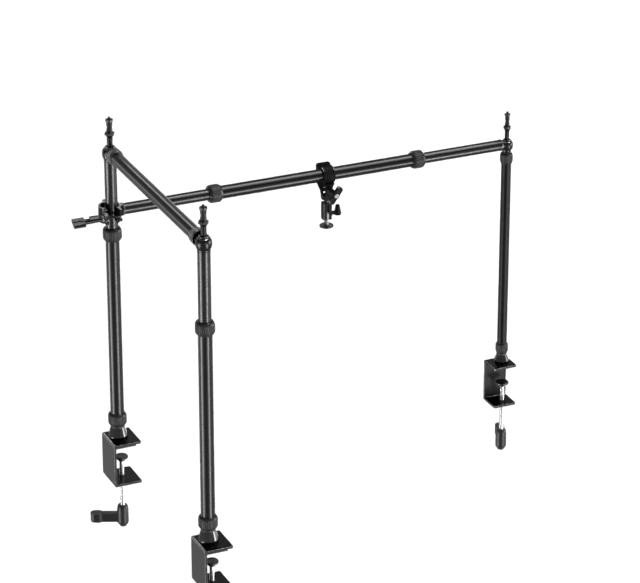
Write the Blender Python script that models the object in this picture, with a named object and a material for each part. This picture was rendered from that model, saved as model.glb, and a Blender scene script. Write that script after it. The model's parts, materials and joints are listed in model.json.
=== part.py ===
"""Overhead camera rig: three telescopic columns on table clamps, a side bar, a telescopic crossbar
held by a column clamp, and a camera clamp with a tilt head.

Units are metres, +Z up. The origin is on the axis of the rear left column, at the underside of its
clamp's rubber pad, where the clamp meets the tabletop. +X runs along the crossbar to the right
column and +Y points to the back, so the front left column stands at -Y.
"""
import math
from dataclasses import dataclass

import bmesh
import bpy
from mathutils import Euler, Vector

# Fits
GAP = 0.0003                 # clearance wherever one piece touches another
ROUND_STEPS = 20             # sides of tubes and collars
MEDIUM_STEPS = 16            # sides of hubs and knobs
SMALL_STEPS = 12             # sides of screws, pins and pieces with a hexagon

# Layout of the whole rig
BAR_SPAN = 1.140             # rear left column axis to right column axis
SIDE_SPAN = 0.632            # rear left column axis to front left column axis
HEAD_HEIGHT = 0.810          # clamp top plate to the middle of the left columns' heads
CROSSBAR_HEIGHT = 0.648      # clamp top plate to the crossbar's axis
CAMERA_CLAMP_X = 0.606       # where the camera clamp hangs on the crossbar

# Table clamp plates, the same steel on every column
PLATE = 0.006                # thickness of the bent steel
PAD = 0.006                  # thickness of the rubber pad under the top plate
CLAMP_HEIGHT = 0.122         # outside height of the bent frame
BEND_RADIUS = 0.004          # outside radius of the two bends
TABLE = 0.048                # tabletop that the clamp is set to
PLATE_TOP = PAD + GAP + PLATE
PAD_FRONT_INSET = 0.014      # the pad stops short of the top plate's free edge
PAD_SIDE_INSET = 0.004
CONE_STUD_RADIUS = 0.004     # stud that bolts the cone to the top plate

# Clamp screw, pressure plate and lever
SCREW_RADIUS = 0.00625
SCREW_TIP_RADIUS = 0.0045
SCREW_TIP_LENGTH = 0.007
SCREW_OFFSET = 0.008         # screw axis, from the column axis towards the mouth
SCREW_SHOWN = 0.085          # bare screw between the frame and the lever's hub
FOOT_RADIUS = 0.018
FOOT_THICKNESS = 0.006
FOOT_BOSS_RADIUS = 0.009
FOOT_BOSS_HEIGHT = 0.008
HUB_RADIUS = 0.0153
HUB_HEIGHT = 0.057
HUB_CAP_RADIUS = 0.0095
HUB_CAP_HEIGHT = 0.006
SCREW_IN_HUB = 0.036
ARM_LENGTH = 0.087           # hub axis to the tip of the lever
ARM_THICKNESS = 0.0170
ARM_HEIGHT = 0.025
ARM_DROP = 0.0365            # hub top to the middle of the arm
ARM_TIP_LENGTH = 0.031
ARM_TIP_THICKNESS = 0.0260
ARM_ANGLE = 156.0            # degrees, where the lever points at rest

# Crossbar
BAR_RADIUS = 0.0175          # middle tube
BAR_END_RADIUS = 0.0150      # left and right tubes, which slide inside the middle one
BAR_END_WALL = 0.0018
LEFT_COLLAR_X = 0.285
RIGHT_COLLAR_X = 0.870
BAR_INSERTION = 0.165        # how far each end tube reaches into the middle tube
COLLAR_RADIUS = 0.0240
COLLAR_HEIGHT = 0.036

# Side bar
SIDE_RADIUS = 0.0172
SIDE_WALL = 0.0018
SIDE_RING_RADIUS = 0.0212
SIDE_RING_LENGTH = 0.024

# Ports of the heads, where a bar is plugged in and locked
PORT_PLUG_LENGTH = 0.028
PORT_NECK = 0.0010           # from the hub's side to the flange
BAR_FLANGE_RADIUS = 0.0158   # flange that the crossbar meets

# Column clamp that carries the crossbar
SHELL_HEIGHT = 0.042
SHELL_MIDDLE = -0.004        # middle of the shells, from the crossbar's axis
SHELL_OUTER = 0.0295
SHELL_WALL = 0.0050
SHELL_CENTRE_X = -0.0055     # the shells' centre lies left of the column, which rests on the right
BODY_ANGLES = (-66.0, 84.0)  # where the body's shell starts and ends, degrees from +X
JAW_ANGLES = (96.0, 220.0)
GRIP_HALF_HEIGHT = 0.008     # half the height of the blocks that grip the column
BODY_GRIP = (0.0225, -62.0, 62.0)    # outer radius, then the angles where the block starts and ends
JAW_GRIP = (0.0320, 150.0, 212.0)
KNUCKLE_RADIUS = 0.0065
KNUCKLE_PIN_RADIUS = 0.0030
EAR_Y = -0.0310              # axis of the tightening screw, in front of the column
EAR_Z = -0.0050
EAR_FRONT = -0.0395
SWING_X = 0.0112             # upright pin in the body's ear that the tightening screw swings on
SWING_PIN_RADIUS = 0.0019
SWING_PIN_HALF = 0.0088
BODY_EAR = (0.0080, 0.0145, -0.0155, 0.0165)     # left, right, bottom and top
JAW_EAR = (-0.0310, -0.0215, -0.0200, 0.0050)
SOCKET_RADIUS = 0.0172
SOCKET_LENGTH = 0.0035
SOCKET_START = 0.0270
THUMB_SCREW_RADIUS = 0.0038
THUMB_HUB_START = 0.0350
THUMB_HUB_LENGTH = 0.0545
THUMB_HUB_RADIUS = 0.0075
THUMB_FIN = (0.0480, 0.0720)  # where the fin on the hub starts and ends
THUMB_FIN_HEIGHT = 0.0118
THUMB_FIN_THICKNESS = 0.0080
THUMB_BAR_LENGTH = 0.030
THUMB_BAR_THICKNESS = 0.0135
THUMB_BAR_DEPTH = 0.0270     # along the screw, past the hub
THUMB_BAR_TILT = 33.0        # degrees the handle's bar leans up from level

# Camera clamp, every drop measured down from the crossbar's axis
JAW_WALL = 0.0060
JAW_OUTER = BAR_RADIUS + GAP + JAW_WALL
FRONT_JAW_WIDTH = 0.032
REAR_JAW_WIDTH = 0.040
JAW_PIVOT_DROP = BAR_RADIUS + 0.0435     # down to the jaws' pivot pin
JAW_PIN_RADIUS = 0.0030
JAW_EYE_RADIUS = 0.0085
LEG_THICKNESS = 0.0070
CHEEK_WIDTH = 0.0060         # each side plate of the rear jaw's forked leg
TONGUE_HALF_WIDTH = 0.0065   # half the width of the front jaw's leg, between the side plates
# Each leg narrows in steps of (drop, half width). The front one waits at a waist beside the bolt
FRONT_TAPER = ((BAR_RADIUS - 0.0025, FRONT_JAW_WIDTH / 2), (BAR_RADIUS + 0.0085, 0.0105),
               (BAR_RADIUS + 0.0165, 0.0105), (BAR_RADIUS + 0.0225, TONGUE_HALF_WIDTH))
REAR_TAPER = ((BAR_RADIUS + 0.0085, REAR_JAW_WIDTH / 2),
              (BAR_RADIUS + 0.0310, TONGUE_HALF_WIDTH + 2 * GAP + CHEEK_WIDTH))
TAB_CORNERS = ((0.0083, 0.0083), (0.0045, 0.0087))   # rear jaw's upright tab, (y, z) past the bar
TAB_ANGLES = (18.0, 40.0)    # where the tab leaves and meets the jaw's outer curve
BOLT_DROP = BAR_RADIUS + 0.0200          # down to the clamp bolt
BOLT_RADIUS = 0.0030
KNOB_START = JAW_OUTER - 0.0026          # crossbar axis forward to the knob's hub, beside the leg
KNOB_HUB_RADIUS = 0.0090
KNOB_HUB_LENGTH = 0.0440
NUT_START = JAW_OUTER - 0.0013           # crossbar axis back to the bolt's nut
NUT_RADIUS = 0.0062
NUT_THICKNESS = 0.0060
WING_LENGTH = 0.0520
WING_WIDTH = 0.0145
WING_THICKNESS = 0.0120
WING_ANGLE = 54.0            # degrees, how the wing stands at rest
BUTTON_RADIUS = 0.0062
BUTTON_HEIGHT = 0.0022

# Tilt head under the camera clamp
SADDLE_DROP = JAW_PIVOT_DROP + 0.0130    # down to the underside of the front jaw's foot
FORK_TOP_DROP = SADDLE_DROP + 0.0050     # down to the top of the fork
FORK_HEIGHT = 0.0470
FORK_WIDTH = 0.0250
FORK_DEPTH = 0.0220
FORK_SLOT = 0.0056
FORK_BRIDGE = 0.0045
NECK_RADIUS = 0.0042
SWIVEL_RADIUS = 0.0028
TILT_DROP = FORK_TOP_DROP + 0.0340       # down to the tilt axis
TILT_PIN_RADIUS = 0.0030
BLADE_RADIUS = 0.0110
BLADE_FOOT_HALF = 0.0090     # half the blade's width where it is keyed into the camera plate
CAMERA_PLATE_DROP = TILT_DROP + 0.0310   # down to the camera plate's upper face
KEY_DEPTH = 0.0030           # how far the blade's foot sits in the plate
CAMERA_PLATE_RADIUS = 0.0190
CAMERA_PLATE_THICKNESS = 0.0055
CAMERA_SCREW_RADIUS = 0.003175
CAMERA_SCREW_LENGTH = 0.0060
LEVER_REACH = 0.0125         # from the fork's side to the grip
GRIP_LOW_RADIUS = 0.0100
GRIP_HIGH_RADIUS = 0.0058
GRIP_HEIGHT = 0.0290


@dataclass(frozen=True)
class ColumnSizes:
    """Sizes of one telescopic column with its clamp, in metres."""
    outer_radius: float
    inner_radius: float
    inner_wall: float
    collar_radius: float
    collar_height: float
    cone_radius: float
    cone_top_radius: float
    cone_height: float
    plate_width: float        # along the bend
    plate_depth: float        # from the bend to the free edge
    plate_shift: float        # column axis to the middle of the plate, along the bend
    bend_distance: float      # column axis to the outside of the bend
    lock_collar_middle: float
    insertion: float          # inner tube below the middle of the lock collar
    head_radius: float
    head_height: float        # height of the rounded hub with the ring on top
    port_flange: float        # thickness of the flange on the head's port
    spigot_scale: float       # diameters of the spigot against a 16 mm one


LEFT = ColumnSizes(
    outer_radius=0.0180, inner_radius=0.0163, inner_wall=0.0015,
    collar_radius=0.0245, collar_height=0.036,
    cone_radius=0.0255, cone_top_radius=0.0187, cone_height=0.035,
    plate_width=0.093, plate_depth=0.077, plate_shift=-0.0095, bend_distance=0.032,
    lock_collar_middle=0.585, insertion=0.285,
    head_radius=0.0208, head_height=0.034, port_flange=0.0045, spigot_scale=1.0,
)
RIGHT = ColumnSizes(
    outer_radius=0.0135, inner_radius=0.0118, inner_wall=0.0015,
    collar_radius=0.0172, collar_height=0.032,
    cone_radius=0.0210, cone_top_radius=0.0142, cone_height=0.027,
    plate_width=0.067, plate_depth=0.069, plate_shift=-0.0072, bend_distance=0.0265,
    lock_collar_middle=0.6095, insertion=0.250,
    head_radius=0.0172, head_height=0.028, port_flange=0.0020, spigot_scale=0.8,
)

# Finishes, read from the photograph
FINISHES = {
    "black_anodised": ((0.035, 0.035, 0.036), 0.32, 0.75),
    "black_coated_steel": ((0.050, 0.050, 0.051), 0.42, 0.30),
    "black_plastic": ((0.022, 0.022, 0.023), 0.48, 0.0),
    "black_rubber": ((0.012, 0.012, 0.012), 0.85, 0.0),
    "bright_chrome": ((0.78, 0.79, 0.80), 0.12, 1.0),
    "dark_steel": ((0.10, 0.10, 0.105), 0.30, 0.9),
}


def finish(name):
    """Return the named material, made on first use."""
    found = bpy.data.materials.get(name)
    if found:
        return found
    colour, roughness, metallic = FINISHES[name]
    made = bpy.data.materials.new(name)
    made.use_nodes = True
    shader = made.node_tree.nodes["Principled BSDF"]
    shader.inputs["Base Color"].default_value = (*colour, 1.0)
    shader.inputs["Roughness"].default_value = roughness
    shader.inputs["Metallic"].default_value = metallic
    return made


def clear_scene():
    """Remove whatever objects the file opened with."""
    for obj in list(bpy.data.objects):
        bpy.data.objects.remove(obj, do_unlink=True)


def frame_empty(name, place, turn_z=0.0):
    """Return an empty that an assembly is built around."""
    empty = bpy.data.objects.new(name, None)
    empty.location = place
    empty.rotation_euler = Euler((0.0, 0.0, math.radians(turn_z)))
    bpy.context.collection.objects.link(empty)
    return empty


def to_object(name, bm, look, parent, place=(0, 0, 0), turn=(0, 0, 0)):
    """Turn a bmesh into a named object in the frame of its parent."""
    bmesh.ops.remove_doubles(bm, verts=bm.verts, dist=1e-7)
    bmesh.ops.recalc_face_normals(bm, faces=bm.faces)
    mesh = bpy.data.meshes.new(name)
    bm.to_mesh(mesh)
    bm.free()
    mesh.shade_smooth()
    mesh.set_sharp_from_angle(angle=math.radians(28))
    mesh.materials.append(finish(look))
    obj = bpy.data.objects.new(name, mesh)
    obj.parent = parent
    obj.location = place
    obj.rotation_euler = Euler([math.radians(angle) for angle in turn])
    bpy.context.collection.objects.link(obj)
    return obj


# Turns that lay a piece modelled along +Z on another axis
ALONG_X = (0, 90, 0)
ALONG_MINUS_X = (0, -90, 0)
ALONG_Y = (-90, 0, 0)
ALONG_MINUS_Y = (90, 0, 0)


def ring_points(radius, height, steps, sides=0):
    """Points round the Z axis; with sides, they lie on a regular polygon instead of a circle."""
    points = []
    for index in range(steps):
        angle = 2 * math.pi * index / steps
        reach = radius
        if sides:
            half = math.pi / sides
            reach = radius * math.cos(half) / math.cos((angle % (2 * half)) - half)
        points.append(Vector((reach * math.cos(angle), reach * math.sin(angle), height)))
    return points


def revolve(outline, steps=ROUND_STEPS, closed=False):
    """Spin an outline of (radius, height) or (radius, height, sides) round the Z axis.

    An open outline starts and ends on the axis. A closed one is a ring's cross section.
    """
    bm = bmesh.new()
    rings = []
    for radius, height, *sides in outline:
        if radius == 0:
            rings.append([bm.verts.new((0, 0, height))])
            continue
        points = ring_points(radius, height, steps, sides[0] if sides else 0)
        rings.append([bm.verts.new(point) for point in points])
    pairs = list(zip(rings, rings[1:]))
    if closed:
        pairs.append((rings[-1], rings[0]))
    for low, high in pairs:
        for index in range(steps):
            after = (index + 1) % steps
            if len(low) == 1:
                bm.faces.new((low[0], high[after], high[index]))
            elif len(high) == 1:
                bm.faces.new((low[index], low[after], high[0]))
            else:
                bm.faces.new((low[index], low[after], high[after], high[index]))
    return bm


def revolve_part(outline, start, end, steps):
    """Spin a closed outline of (radius, height) from one angle to another, in degrees."""
    bm = bmesh.new()
    sections = []
    for index in range(steps + 1):
        angle = math.radians(start + (end - start) * index / steps)
        section = [bm.verts.new((radius * math.cos(angle), radius * math.sin(angle), height))
                   for radius, height in outline]
        sections.append(section)
    count = len(outline)
    for near, far in zip(sections, sections[1:]):
        for index in range(count):
            after = (index + 1) % count
            bm.faces.new((near[index], near[after], far[after], far[index]))
    bm.faces.new(sections[0])
    bm.faces.new(list(reversed(sections[-1])))
    return bm


def extrude(outline, low, high):
    """Extrude a flat outline of (x, y) points from one height to another."""
    bm = bmesh.new()
    bottom = [bm.verts.new((x, y, low)) for x, y in outline]
    top = [bm.verts.new((x, y, high)) for x, y in outline]
    bm.faces.new(list(reversed(bottom)))
    bm.faces.new(top)
    for index in range(len(outline)):
        after = (index + 1) % len(outline)
        bm.faces.new((bottom[index], bottom[after], top[after], top[index]))
    return bm


def arc(centre, radius, start, end, steps):
    """Points along an arc in a plane, angles in degrees."""
    points = []
    for index in range(steps + 1):
        angle = math.radians(start + (end - start) * index / steps)
        points.append((centre[0] + radius * math.cos(angle), centre[1] + radius * math.sin(angle)))
    return points


def rounded_rectangle(width, depth, radius, steps=3):
    """Outline of a rectangle centred on the origin, with rounded corners."""
    right = width / 2 - radius
    top = depth / 2 - radius
    points = []
    for x, y, start in ((right, top, 0), (-right, top, 90), (-right, -top, 180), (right, -top, 270)):
        points += arc((x, y), radius, start, start + 90, steps)
    return points


def turned(outline, degrees):
    """Turn a flat outline about the origin."""
    angle = math.radians(degrees)
    return [(x * math.cos(angle) - y * math.sin(angle), x * math.sin(angle) + y * math.cos(angle))
            for x, y in outline]


def combine(target, other, operation):
    """Join another shape to a piece, or cut it out, and keep the other one only as a guide."""
    other.hide_render = True
    other.display_type = "WIRE"
    modifier = target.modifiers.new(other.name, "BOOLEAN")
    modifier.operation = operation
    modifier.solver = "EXACT"
    modifier.object = other


def join(target, other):
    combine(target, other, "UNION")


def cut(target, other):
    combine(target, other, "DIFFERENCE")


def tube_outline(outer, wall, low, high):
    """Cross section of a tube."""
    inner = outer - wall
    return [(inner, low), (outer, low), (outer, high), (inner, high)]


def twist_collar(name, radius, height, wide_bore, narrow_bore, parent, place, turn=(0, 0, 0)):
    """Locking collar: it wraps the end of a wide tube and closes on the narrower one inside."""
    middle = height / 2
    step = middle + GAP
    edge = wide_bore + (radius - wide_bore) * 0.40
    outline = [
        (wide_bore, 0), (edge, 0), (radius, 0.0070), (radius, height - 0.0095),
        (radius - 0.0018, height - 0.0040), (edge, height), (narrow_bore, height),
        (narrow_bore, step), (wide_bore, step),
    ]
    if abs(narrow_bore - wide_bore) < 1e-6:
        outline = outline[:7]
    return to_object(name, revolve(outline, closed=True), "black_plastic", parent, place, turn)


def clamp_frame(name, sizes, base):
    """Bent C frame: a top plate on the table, a back plate and a lower plate for the screw."""
    back = -sizes.bend_distance
    front = back + sizes.plate_depth
    half = sizes.plate_width / 2
    shift = sizes.plate_shift
    top = 0.0
    bottom = -CLAMP_HEIGHT
    outline = [(front, top - PLATE), (front, top)]
    outline += arc((back + BEND_RADIUS, top - BEND_RADIUS), BEND_RADIUS, 90, 180, 3)
    outline += arc((back + BEND_RADIUS, bottom + BEND_RADIUS), BEND_RADIUS, 180, 270, 3)
    outline += [(front, bottom), (front, bottom + PLATE)]
    outline += [(back + PLATE, bottom + PLATE), (back + PLATE, top - PLATE)]
    bm = extrude(outline, -half - shift, half - shift)
    free_corners = [edge for edge in bm.edges
                    if all(abs(vert.co.x - front) < 1e-6 for vert in edge.verts)
                    and abs(edge.verts[0].co.z - edge.verts[1].co.z) < 1e-6]
    bmesh.ops.bevel(bm, geom=free_corners, offset=0.004, segments=3, affect="EDGES", profile=0.5)
    frame = to_object(name, bm, "black_coated_steel", base, turn=(90, 0, 0))
    stud_hole = revolve([(0, -PLATE * 2), (CONE_STUD_RADIUS + GAP, -PLATE * 2),
                         (CONE_STUD_RADIUS + GAP, PLATE), (0, PLATE)], SMALL_STEPS)
    cut(frame, to_object(name + "_stud_hole", stud_hole, "black_coated_steel", base))
    screw_hole = revolve([(0, bottom - PLATE), (SCREW_RADIUS + GAP, bottom - PLATE),
                          (SCREW_RADIUS + GAP, bottom + PLATE * 2), (0, bottom + PLATE * 2)],
                         SMALL_STEPS)
    cut(frame, to_object(name + "_screw_hole", screw_hole, "black_coated_steel", base,
                         place=(SCREW_OFFSET, 0, 0)))
    return frame


def jaw_pad(name, sizes, base):
    """Rubber pad under the top plate, set back from the plate's free edge."""
    back = -sizes.bend_distance + PLATE + GAP
    front = -sizes.bend_distance + sizes.plate_depth - PAD_FRONT_INSET
    width = front - back
    outline = rounded_rectangle(width, sizes.plate_width - 2 * PAD_SIDE_INSET, 0.003)
    top = -PLATE - GAP
    return to_object(name, extrude(outline, top - PAD, top), "black_rubber", base,
                     place=((front + back) / 2, sizes.plate_shift, 0))


def clamp_screw_set(prefix, base):
    """Pressure plate, screw and lever under the table."""
    foot_top = -PLATE_TOP - TABLE
    foot_low = foot_top - FOOT_THICKNESS
    boss_low = foot_low - FOOT_BOSS_HEIGHT
    socket_top = boss_low + SCREW_TIP_LENGTH + GAP
    socket = SCREW_TIP_RADIUS + GAP
    foot_outline = [
        (0, socket_top), (socket, socket_top), (socket, boss_low), (FOOT_BOSS_RADIUS, boss_low),
        (FOOT_BOSS_RADIUS, foot_low), (FOOT_RADIUS - 0.0010, foot_low),
        (FOOT_RADIUS, foot_low + 0.0010), (FOOT_RADIUS, foot_top - 0.0010),
        (FOOT_RADIUS - 0.0010, foot_top), (0, foot_top),
    ]
    axis = (SCREW_OFFSET, 0, 0)
    to_object(prefix + "_pressure_plate", revolve(foot_outline, MEDIUM_STEPS), "dark_steel", base, axis)

    hub_top = -CLAMP_HEIGHT - SCREW_SHOWN
    screw_low = hub_top - SCREW_IN_HUB
    shoulder = boss_low - GAP
    screw_outline = [
        (0, screw_low), (SCREW_RADIUS - 0.0008, screw_low), (SCREW_RADIUS, screw_low + 0.0008),
        (SCREW_RADIUS, shoulder), (SCREW_TIP_RADIUS, shoulder),
        (SCREW_TIP_RADIUS, boss_low + SCREW_TIP_LENGTH), (0, boss_low + SCREW_TIP_LENGTH),
    ]
    to_object(prefix + "_clamp_screw", revolve(screw_outline, SMALL_STEPS), "bright_chrome", base, axis)

    hub_low = hub_top - HUB_HEIGHT
    bore = SCREW_RADIUS + GAP
    hub_outline = [
        (0, hub_low - HUB_CAP_HEIGHT), (HUB_CAP_RADIUS - 0.0010, hub_low - HUB_CAP_HEIGHT),
        (HUB_CAP_RADIUS, hub_low - HUB_CAP_HEIGHT + 0.0010), (HUB_CAP_RADIUS, hub_low),
        (HUB_RADIUS - 0.0025, hub_low), (HUB_RADIUS, hub_low + 0.0060),
        (HUB_RADIUS, hub_top - 0.0130), (HUB_RADIUS - 0.0015, hub_top - 0.0030),
        (HUB_RADIUS - 0.0035, hub_top), (bore + 0.0022, hub_top), (bore, hub_top - 0.0030),
        (bore, screw_low - GAP), (0, screw_low - GAP),
    ]
    lever = to_object(prefix + "_clamp_lever", revolve(hub_outline, MEDIUM_STEPS), "black_plastic",
                      base, axis)
    arm_middle = hub_top - ARM_DROP
    tip_start = ARM_LENGTH - ARM_TIP_LENGTH
    half = ARM_THICKNESS / 2
    tip_half = ARM_TIP_THICKNESS / 2
    arm_outline = [(HUB_RADIUS * 0.6, -half), (tip_start, -half), (tip_start + 0.006, -tip_half)]
    arm_outline += arc((ARM_LENGTH - tip_half, 0), tip_half, -90, 90, 8)
    arm_outline += [(tip_start + 0.006, tip_half), (tip_start, half), (HUB_RADIUS * 0.6, half)]
    arm = extrude(arm_outline, arm_middle - ARM_HEIGHT / 2, arm_middle + ARM_HEIGHT / 2)
    join(lever, to_object(prefix + "_clamp_lever_arm", arm, "black_plastic", base, axis,
                          turn=(0, 0, ARM_ANGLE)))


def cone_base(name, sizes, base):
    """Cone bolted to the top plate, with a neck for the collar and a stub inside the column."""
    neck_top = sizes.cone_height + sizes.collar_height * 0.42
    stub_top = sizes.cone_height + sizes.collar_height + 0.012
    stub = sizes.inner_radius
    outline = [
        (0, -PLATE), (CONE_STUD_RADIUS, -PLATE), (CONE_STUD_RADIUS, GAP), (sizes.cone_radius, GAP),
        (sizes.cone_radius, 0.0055), (sizes.cone_top_radius, sizes.cone_height - 0.0045),
        (sizes.cone_top_radius, sizes.cone_height), (sizes.outer_radius, sizes.cone_height),
        (sizes.outer_radius, neck_top), (stub, neck_top), (stub, stub_top - 0.0015),
        (stub - 0.0015, stub_top), (0, stub_top),
    ]
    to_object(name, revolve(outline), "black_anodised", base)
    return neck_top


def column(prefix, sizes, place, facing, head_middle, port_turn, port_bar):
    """One telescopic column from its table clamp to the spigot on its head.

    facing turns the clamp's mouth, in degrees from +X, and port_turn turns the head's port. The
    port's bar is given as its inner radius and the radius of the flange that it meets.
    """
    x, y = place
    base = frame_empty(prefix + "_base", (x, y, PLATE_TOP), facing)
    mast = frame_empty(prefix + "_mast", (x, y, PLATE_TOP))
    clamp_frame(prefix + "_clamp_frame", sizes, base)
    jaw_pad(prefix + "_jaw_pad", sizes, base)
    clamp_screw_set(prefix, base)
    neck_top = cone_base(prefix + "_cone_base", sizes, base)

    outer_bore = sizes.outer_radius + GAP
    twist_collar(prefix + "_base_collar", sizes.collar_radius, sizes.collar_height,
                 outer_bore, outer_bore, base, (0, 0, sizes.cone_height + GAP))

    outer_wall = sizes.outer_radius - sizes.inner_radius - GAP
    outer = tube_outline(sizes.outer_radius, outer_wall, neck_top + GAP, sizes.lock_collar_middle)
    to_object(prefix + "_outer_tube", revolve(outer, closed=True), "black_anodised", mast)
    twist_collar(prefix + "_lock_collar", sizes.collar_radius, sizes.collar_height, outer_bore,
                 sizes.inner_radius + GAP, mast,
                 (0, 0, sizes.lock_collar_middle - sizes.collar_height / 2))

    neck_low = head_middle - sizes.head_height / 2 - 0.0055
    inner_low = sizes.lock_collar_middle - sizes.insertion
    inner = tube_outline(sizes.inner_radius, sizes.inner_wall, inner_low, neck_low - GAP)
    to_object(prefix + "_inner_tube", revolve(inner, closed=True), "black_anodised", mast)
    head_place = (0, 0, head_middle)
    head(prefix + "_head", sizes, mast, head_place, port_turn, port_bar)
    spigot(prefix + "_spigot", sizes, mast, head_place)


def head(name, sizes, mast, place, port_turn, port_bar):
    """Rounded hub on top of a column, with a plug below, a spigot seat above and a side port."""
    radius = sizes.head_radius
    half = sizes.head_height / 2
    plug = sizes.inner_radius - sizes.inner_wall - GAP
    seat = 0.0105 * sizes.spigot_scale
    ring = 0.0135 * sizes.spigot_scale
    hole = 0.0060 * sizes.spigot_scale + GAP
    neck_low = -half - 0.0055
    outline = [
        (0, neck_low - 0.024), (plug, neck_low - 0.024), (plug, neck_low),
        (sizes.inner_radius + 0.0004, neck_low), (sizes.inner_radius + 0.0004, -half),
        (radius * 0.84, -half + 0.0005), (radius * 0.96, -half * 0.66), (radius, -half * 0.28),
        (radius, half * 0.08), (radius * 0.95, half * 0.42), (radius * 0.80, half * 0.68),
        (ring, half * 0.74), (ring, half - 0.0008), (ring - 0.0010, half), (seat, half),
        (seat, half - 0.0015), (hole, half - 0.0015), (hole, half - 0.0145), (0, half - 0.0145),
    ]
    hub = to_object(name, revolve(outline), "black_anodised", mast, place)
    bar_bore, flange_radius = port_bar
    port_plug = bar_bore - GAP
    flange_end = port_flange_end(sizes)
    flange_start = flange_end - sizes.port_flange
    port_outline = [
        (0, radius * 0.55), (bar_bore, radius * 0.55), (bar_bore, flange_start),
        (flange_radius - 0.0008, flange_start), (flange_radius, flange_start + 0.0008),
        (flange_radius, flange_end - 0.0008), (flange_radius - 0.0008, flange_end),
        (port_plug, flange_end), (port_plug, flange_end + PORT_PLUG_LENGTH),
        (0, flange_end + PORT_PLUG_LENGTH),
    ]
    join(hub, to_object(name + "_port", revolve(port_outline, MEDIUM_STEPS), "black_anodised", mast, place,
                        port_turn))


def spigot(name, sizes, mast, head_place):
    """Light spigot: a hexagonal flange between two shafts, a shoulder and a threaded stud."""
    scale = sizes.spigot_scale
    seat = sizes.head_height / 2 - 0.0015 + GAP
    stub_low = seat - 0.0125
    flange_low = seat + 0.0330
    flange_high = flange_low + 0.0060
    shoulder_low = flange_high + 0.0300
    shoulder_high = shoulder_low + 0.0060
    shaft = 0.0075 * scale
    upper = 0.0079 * scale
    hexagon = 0.0138 * scale
    shoulder = 0.0098 * scale
    outline = [
        (0, stub_low), (0.0060 * scale, stub_low), (0.0060 * scale, seat), (shaft, seat),
        (shaft, flange_low - 0.0075), (0.0112 * scale, flange_low - 0.0004),
        (hexagon, flange_low, 6), (hexagon, flange_high, 6), (upper, flange_high + 0.0004),
        (upper, shoulder_low), (shoulder, shoulder_low), (shoulder, shoulder_high - 0.0010),
        (shoulder - 0.0010, shoulder_high), (CAMERA_SCREW_RADIUS, shoulder_high),
        (CAMERA_SCREW_RADIUS, shoulder_high + 0.0055), (CAMERA_SCREW_RADIUS - 0.0006, shoulder_high + 0.0061),
        (0, shoulder_high + 0.0061),
    ]
    to_object(name, revolve(outline, SMALL_STEPS), "black_anodised", mast, head_place)


def port_flange_end(sizes):
    """Distance from a column's axis to the outer face of its head's port flange."""
    return sizes.head_radius + PORT_NECK + sizes.port_flange


def side_bar():
    """Bar between the two left heads, with a knurled lock ring at each end."""
    height = PLATE_TOP + HEAD_HEIGHT
    base = frame_empty("side_bar", (0, 0, height))
    start = port_flange_end(LEFT) + GAP
    length = SIDE_SPAN - 2 * start
    outline = tube_outline(SIDE_RADIUS, SIDE_WALL, start, start + length)
    to_object("side_bar_tube", revolve(outline, closed=True), "black_anodised", base, turn=ALONG_MINUS_Y)
    bore = SIDE_RADIUS + GAP
    ring_outline = [
        (bore, 0), (SIDE_RING_RADIUS - 0.0010, 0), (SIDE_RING_RADIUS, 0.0012),
        (SIDE_RING_RADIUS, SIDE_RING_LENGTH - 0.0035), (bore + 0.0012, SIDE_RING_LENGTH),
        (bore, SIDE_RING_LENGTH),
    ]
    for name, y, turn in (("side_bar_rear_ring", -start, ALONG_MINUS_Y),
                          ("side_bar_front_ring", start - SIDE_SPAN, ALONG_Y)):
        to_object(name, revolve(ring_outline, closed=True), "black_plastic", base, (0, y, 0), turn)


def crossbar():
    """Telescopic crossbar: two end tubes that slide in a wider middle tube, and two collars."""
    height = PLATE_TOP + CROSSBAR_HEIGHT
    base = frame_empty("crossbar", (0, 0, height))
    left_start = SOCKET_START + SOCKET_LENGTH + GAP
    left_end = LEFT_COLLAR_X + BAR_INSERTION
    right_start = RIGHT_COLLAR_X - BAR_INSERTION
    right_end = BAR_SPAN - port_flange_end(RIGHT) - GAP
    wall = BAR_RADIUS - BAR_END_RADIUS - GAP
    tubes = (
        ("crossbar_left_tube", BAR_END_RADIUS, BAR_END_WALL, left_start, left_end),
        ("crossbar_middle_tube", BAR_RADIUS, wall, LEFT_COLLAR_X, RIGHT_COLLAR_X),
        ("crossbar_right_tube", BAR_END_RADIUS, BAR_END_WALL, right_start, right_end),
    )
    for name, radius, thickness, start, end in tubes:
        outline = tube_outline(radius, thickness, start, end)
        to_object(name, revolve(outline, closed=True), "black_anodised", base, turn=ALONG_X)
    half = COLLAR_HEIGHT / 2
    for name, x, turn in (("crossbar_left_collar", LEFT_COLLAR_X + half, ALONG_MINUS_X),
                          ("crossbar_right_collar", RIGHT_COLLAR_X - half, ALONG_X)):
        twist_collar(name, COLLAR_RADIUS, COLLAR_HEIGHT, BAR_RADIUS + GAP, BAR_END_RADIUS + GAP,
                     base, (x, 0, 0), turn)


def knuckle_outline(side, pin_y):
    """Plan of a hinge knuckle round the pin, with a web down into its own shell."""
    wall_middle = SHELL_OUTER - SHELL_WALL / 2
    points = arc((0, pin_y), KNUCKLE_RADIUS, -20, 250, 12)
    for angle in (81, 63):
        points.append((wall_middle * math.cos(math.radians(angle)),
                       wall_middle * math.sin(math.radians(angle))))
    return [(side * x, y) for x, y in points]


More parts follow.
